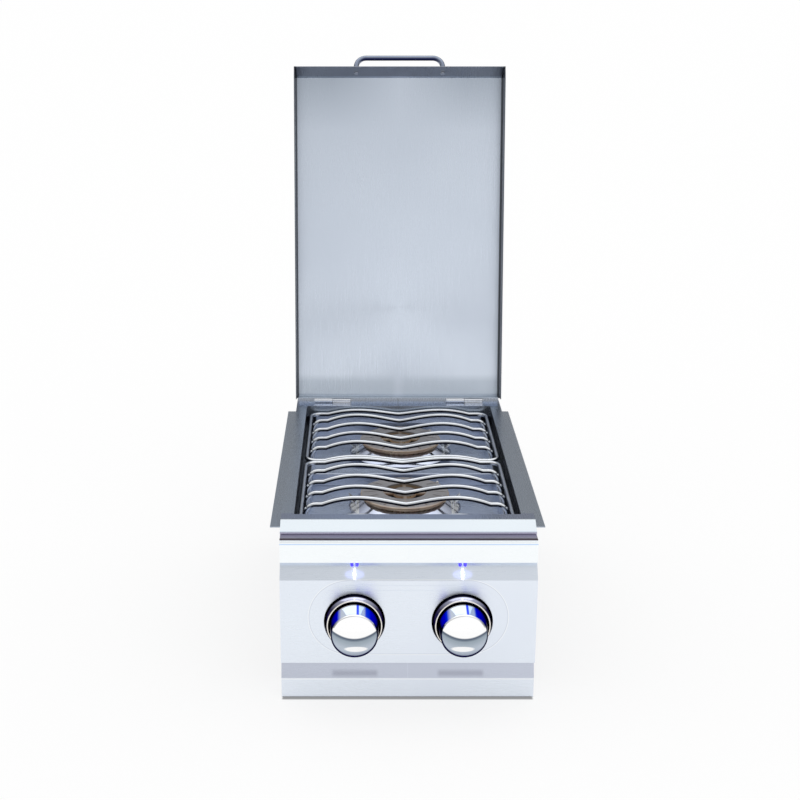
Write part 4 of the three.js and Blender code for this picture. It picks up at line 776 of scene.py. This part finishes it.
# The knob's lengths run along its axis from its skirt, at back. Its face is a cap of a ball with a rolled edge
knobShape = {
    "back": -61.4, "length": 43.4, "skirt": 33.3, "face": 30.6, "cap": 72, "edge": 5, "wall": 2.5, "roof": 31.5,
    "hub": 8, "hubBack": 1, "bore": 3.15, "boreEnd": 29, "lip": 0.4, "lipWidth": 1.5,
    "capSteps": 24, "edgeSteps": 10, "faces": 128, "smoothAngle": 30,
}
bezelShape = {
    "base": -54.9, "radius": 40.3, "front": 36, "height": 13, "bore": 34.3, "hole": 6.5, "floor": 2,
    "round": 0.4, "edge": 0.9, "rim": 0.3, "rimStart": 0.6, "rimRound": 0.15, "boreRound": 0.5,
}
lensShape = {"drop": 3.5, "edgeAngle": 40, "smoothAngle": 60}
for side, sign in (("left", -1), ("right", 1)):
    look = knobShape
    middle = look["face"] - look["edge"]
    tilt = math.asin(middle / (look["cap"] - look["edge"]))
    capZ = look["length"] - look["cap"]
    edgeZ = capZ + (look["cap"] - look["edge"]) * math.cos(tilt)
    capAngles = [tilt * i / look["capSteps"] for i in range(look["capSteps"] - 1, 0, -1)]
    dome = [(look["cap"] * math.sin(angle), capZ + look["cap"] * math.cos(angle)) for angle in capAngles]
    angles = [math.pi / 2 - (math.pi / 2 - tilt) * i / look["edgeSteps"] for i in range(look["edgeSteps"] + 1)]
    edge = [(middle + look["edge"] * math.sin(angle), edgeZ + look["edge"] * math.cos(angle)) for angle in angles]
    knob = turned(side + "KnobShell", [
        (0, look["boreEnd"]), (look["bore"], look["boreEnd"]), (look["bore"], look["hubBack"]),
        (look["hub"], look["hubBack"]), (look["hub"], look["roof"]), (look["face"] - look["wall"], look["roof"]),
        (look["skirt"] - look["wall"], 0), (look["skirt"] - look["lip"], 0), (look["skirt"], look["lip"]),
        (look["skirt"], look["lipWidth"]), *edge, *dome, (0, look["length"]),
    ], at(sign * knobAxis["x"], look["back"], knobAxis["z"]), (0, -1, 0), look["faces"])
    smooth(knob, look["smoothAngle"])
    dress(knob, knobChrome, side + "_knob", "chrome", side + "_knob")

    look = bezelShape
    bezel = turned(side + "BezelCone", [
        (look["hole"], 0), (look["radius"] - look["round"], 0), (look["radius"], look["round"]),
        (look["radius"], look["edge"]), (look["front"] + look["rim"], look["height"] - look["rimStart"]),
        (look["front"], look["height"] - look["rimRound"]), (look["front"] - look["rim"], look["height"]),
        (look["bore"] + look["boreRound"], look["height"]), (look["bore"], look["height"] - look["round"]),
        (look["bore"], look["floor"]), (look["hole"], look["floor"]), (look["hole"], 0),
    ], at(sign * knobAxis["x"], look["base"], knobAxis["z"]), (0, -1, 0), knobShape["faces"])
    smooth(bezel, knobShape["smoothAngle"])
    dress(bezel, bezelChrome, "housing", "chrome", side + "_bezel")

    # The lenses' lower halves reach down, to where the photograph shows them
    look = lensShape
    lamp = refined(side + "_lamp_pair", side + "LampPair", 0, look["edgeAngle"], look["smoothAngle"])
    heights = [vertex.co.z for vertex in lamp.data.vertices]
    middle = (min(heights) + max(heights)) / 2
    for vertex in lamp.data.vertices:
        if vertex.co.z < middle:
            vertex.co.z -= look["drop"] / 1000
    dress(lamp, lampGlow, "housing", "lamp_blue", side + "_lamp_pair")
print("knobs, bezels and lamps made")

handleShape = {
    "halfWidth": 70, "foot": 0.3, "standOff": 25.2, "radius": 4.05, "bend": 16, "bendSteps": 14, "faces": 8,
    "smoothAngle": 50,
}
# The lid's sloping front and its hinge as they are with the lid shut, and how far the photograph shows it open
lidFront = {"run": -15.5, "fall": -32.0, "y": -11.25, "z": 10, "hingeY": 526, "hingeZ": 4.2, "open": 98.5}


# A point over the sloping front of the lid, turned open with it
def lidPoint(x, offset):
    look = lidFront
    down = Vector((look["run"], look["fall"])).normalized()
    normal = Vector((down.y, -down.x))
    openAngle = math.radians(look["open"])
    y = look["y"] + normal.x * offset - look["hingeY"]
    z = look["z"] + normal.y * offset - look["hingeZ"]
    turnedY = y * math.cos(openAngle) + z * math.sin(openAngle)
    turnedZ = -y * math.sin(openAngle) + z * math.cos(openAngle)
    return at(x, turnedY + look["hingeY"], turnedZ + look["hingeZ"])


look = handleShape
corners = [lidPoint(-look["halfWidth"], look["foot"]), lidPoint(-look["halfWidth"], look["standOff"]),
           lidPoint(look["halfWidth"], look["standOff"]), lidPoint(look["halfWidth"], look["foot"])]
handle = rod("lidHandle", bentLine(corners, look["bend"], look["bendSteps"]), look["radius"], look["faces"])
smooth(handle, look["smoothAngle"])
dress(handle, handleChrome, "lid", "chrome", "lid_handle")
print("lid handle bent")

# Floor: a white sweep with a softened shadow and a thin painted shadow line where the object stands. Polished steel
# sees it darker to the right
floorLook = {
    "size": 60, "z": -0.0005, "colour": (0.985, 0.985, 0.985), "roughness": 0.9, "line": (0.35, 0.35, 0.36),
    "lineLow": (-5, -54, -far), "lineHigh": (169, 10, far), "lineSharpness": 400,
    "lift": 0.75, "seenLeft": 0.5, "seenRight": 0.33, "turnX": (0.02, 0.25),
}
white = (1.0, 1.0, 1.0)
black = (0.0, 0.0, 0.0)
bpy.ops.mesh.primitive_plane_add(size=floorLook["size"], location=(0, 0, floorLook["z"]))
floor = bpy.context.object
floor.name = "floor"
material, tree, shader, zone = newMaterial("paleFloor", paintedZoneGroup, {
    "Low": at(*floorLook["lineLow"]), "High": at(*floorLook["lineHigh"]), "Sharpness": floorLook["lineSharpness"],
})
shader.inputs["Roughness"].default_value = floorLook["roughness"]
shader.inputs["Specular IOR Level"].default_value = 0
shader.inputs["Emission Strength"].default_value = 1
rays = tree.nodes.new("ShaderNodeLightPath").outputs
rightward = spread(
    tree, axesOf(tree, objectPlace(tree))["X"], floorLook["seenLeft"], floorLook["seenRight"], *floorLook["turnX"])
glow = mathNode(
    tree, "ADD", mathNode(tree, "MULTIPLY", rightward, rays["Is Glossy Ray"]),
    mathNode(tree, "MULTIPLY", rays["Is Camera Ray"], floorLook["lift"]))
# The zone's colour is a painted shadow line in front of the object's foot
pale = mixColours(tree, zone["Mask"], floorLook["colour"], floorLook["line"])
emission = mixColours(tree, zone["Mask"], white, floorLook["line"])
tree.links.new(mixColours(tree, glow, black, emission), shader.inputs["Emission Color"])
tree.links.new(mixColours(tree, glow, pale, black), shader.inputs["Base Color"])
floor.data.materials.append(material)

# Studio sky: white for the eye and for matt surfaces. Polished ones see levels by height, one list for the front and
# one for the back that meet at the seam, dimmed low at both sides and, in front, towards one side
studio = {
    "front": [
        (0.0, 1.3), (0.07, 1.22), (0.15, 0.98), (0.25, 0.72), (0.4, 0.76), (0.64, 0.78), (0.87, 0.76), (1.0, 1.3),
    ],
    "back": [(0.0, 0.33), (0.29, 0.34), (0.5, 0.42), (0.71, 0.9), (0.87, 1.45), (0.97, 1.45), (1.0, 1.3)],
    "tint": (0.97, 0.985, 1.0), "seam": (-0.2, 0.2),
    "sides": 0.5, "sideReach": (0.6, 0.95), "sideTop": (0.2, 0.6),
    "drift": 0.22, "driftReach": (-0.12, 0.16), "driftBack": (-0.3, 0.0),
}
world = bpy.data.worlds.new("studio")
bpy.context.scene.world = world
world.use_nodes = True
tree = world.node_tree
background = tree.nodes["Background"]
background.inputs["Strength"].default_value = 1.0
split = axesOf(tree, tree.nodes.new("ShaderNodeTexCoord").outputs["Generated"])
half = {}
for part in ("front", "back"):
    ramp = tree.nodes.new("ShaderNodeValToRGB")
    steps = studio[part]
    elements = ramp.color_ramp.elements
    elements[0].position = steps[0][0]
    elements[1].position = steps[-1][0]
    for position, level in steps[1:-1]:
        elements.new(position)
    for element, (position, level) in zip(elements, steps):
        element.position = position
        element.color = (*(level * tint for tint in studio["tint"]), 1)
    tree.links.new(split["Z"], ramp.inputs["Fac"])
    half[part] = ramp.outputs["Color"]
sky = mixColours(tree, spread(tree, split["Y"], 0, 1, *studio["seam"]), half["front"], half["back"])
aside = spread(tree, mathNode(tree, "ABSOLUTE", split["X"]), 0, studio["sides"], *studio["sideReach"])
low = spread(tree, split["Z"], 1, 0, *studio["sideTop"])
drift = spread(tree, split["X"], studio["drift"], 0, *studio["driftReach"])
inFront = spread(tree, split["Y"], 1, 0, *studio["driftBack"])
for dimmed, where in ((aside, low), (drift, inFront)):
    sky = mixColours(tree, mathNode(tree, "MULTIPLY", dimmed, where), sky, black)
rays = tree.nodes.new("ShaderNodeLightPath").outputs
tree.links.new(mixColours(tree, rays["Is Glossy Ray"], white, sky), background.inputs["Color"])


# A flat white studio card that only polished surfaces see, from its front
def card(name, look):
    deselectAll()
    bpy.ops.mesh.primitive_plane_add(size=1)
    piece = bpy.context.object
    piece.name = name
    for vertex, (side, level) in zip(piece.data.vertices, ((1, "low"), (-1, "low"), (1, "high"), (-1, "high"))):
        vertex.co = at(side * look["halfWidth"], look["y"], look[level])
    for ray in ("camera", "diffuse", "transmission", "shadow", "volume_scatter"):
        setattr(piece, "visible_" + ray, False)
    material = bpy.data.materials.new(name)
    material.use_nodes = True
    tree = material.node_tree
    tree.nodes.remove(tree.nodes["Principled BSDF"])
    choice = tree.nodes.new("ShaderNodeMixShader")
    sides = tree.nodes.new("ShaderNodeNewGeometry")
    tree.links.new(sides.outputs["Backfacing"], choice.inputs["Fac"])
    glow = tree.nodes.new("ShaderNodeEmission")
    glow.inputs["Color"].default_value = (*white, 1)
    tree.links.new(glow.outputs[0], choice.inputs[1])
    tree.links.new(tree.nodes.new("ShaderNodeBsdfTransparent").outputs[0], choice.inputs[2])
    tree.links.new(choice.outputs[0], tree.nodes["Material Output"].inputs["Surface"])
    piece.data.materials.append(material)


card("frontCard", {"halfWidth": 400, "y": -260, "low": -140, "high": 50})

# The lamps' own light: a narrow streak down the slope behind each pair, a weak blue halo round it, and the glow that
# the slope sends to the top of the knob. Places count from the knob's axis in x
lampLights = {
    "Streak": {"place": (0, -52, -52), "target": (0, -46.8, -56.6), "size": (2.4, 15), "power": 0.0005,
               "colour": (0.8, 0.84, 1.0), "shape": "ELLIPSE"},
    "Halo": {"place": (0, -54.5, -50), "target": (0, -46.8, -56), "size": (26, 12), "power": 0.0004,
             "colour": (0.35, 0.4, 1.0), "shape": "ELLIPSE"},
    "Glow": {"place": (-3, -55.6, -77), "target": (-3, -100, -77), "size": (46, 28), "power": 0.003,
             "colour": (0.9, 0.95, 1.0), "shape": "RECTANGLE"},
}
for side, sign in (("left", -1), ("right", 1)):
    for name, look in lampLights.items():
        place, target = (at(sign * knobAxis["x"] + x, y, z) for x, y, z in (look["place"], look["target"]))
        bpy.ops.object.light_add(type="AREA", location=place)
        lamp = bpy.context.object
        lamp.name = side + name
        lamp.data.shape = look["shape"]
        lamp.data.size, lamp.data.size_y = (size / 1000 for size in look["size"])
        lamp.data.energy = look["power"]
        lamp.data.color = look["colour"]
        lamp.visible_camera = False
        lamp.rotation_euler = (target - place).to_track_quat("-Z", "Y").to_euler()
print("stage and lights set")
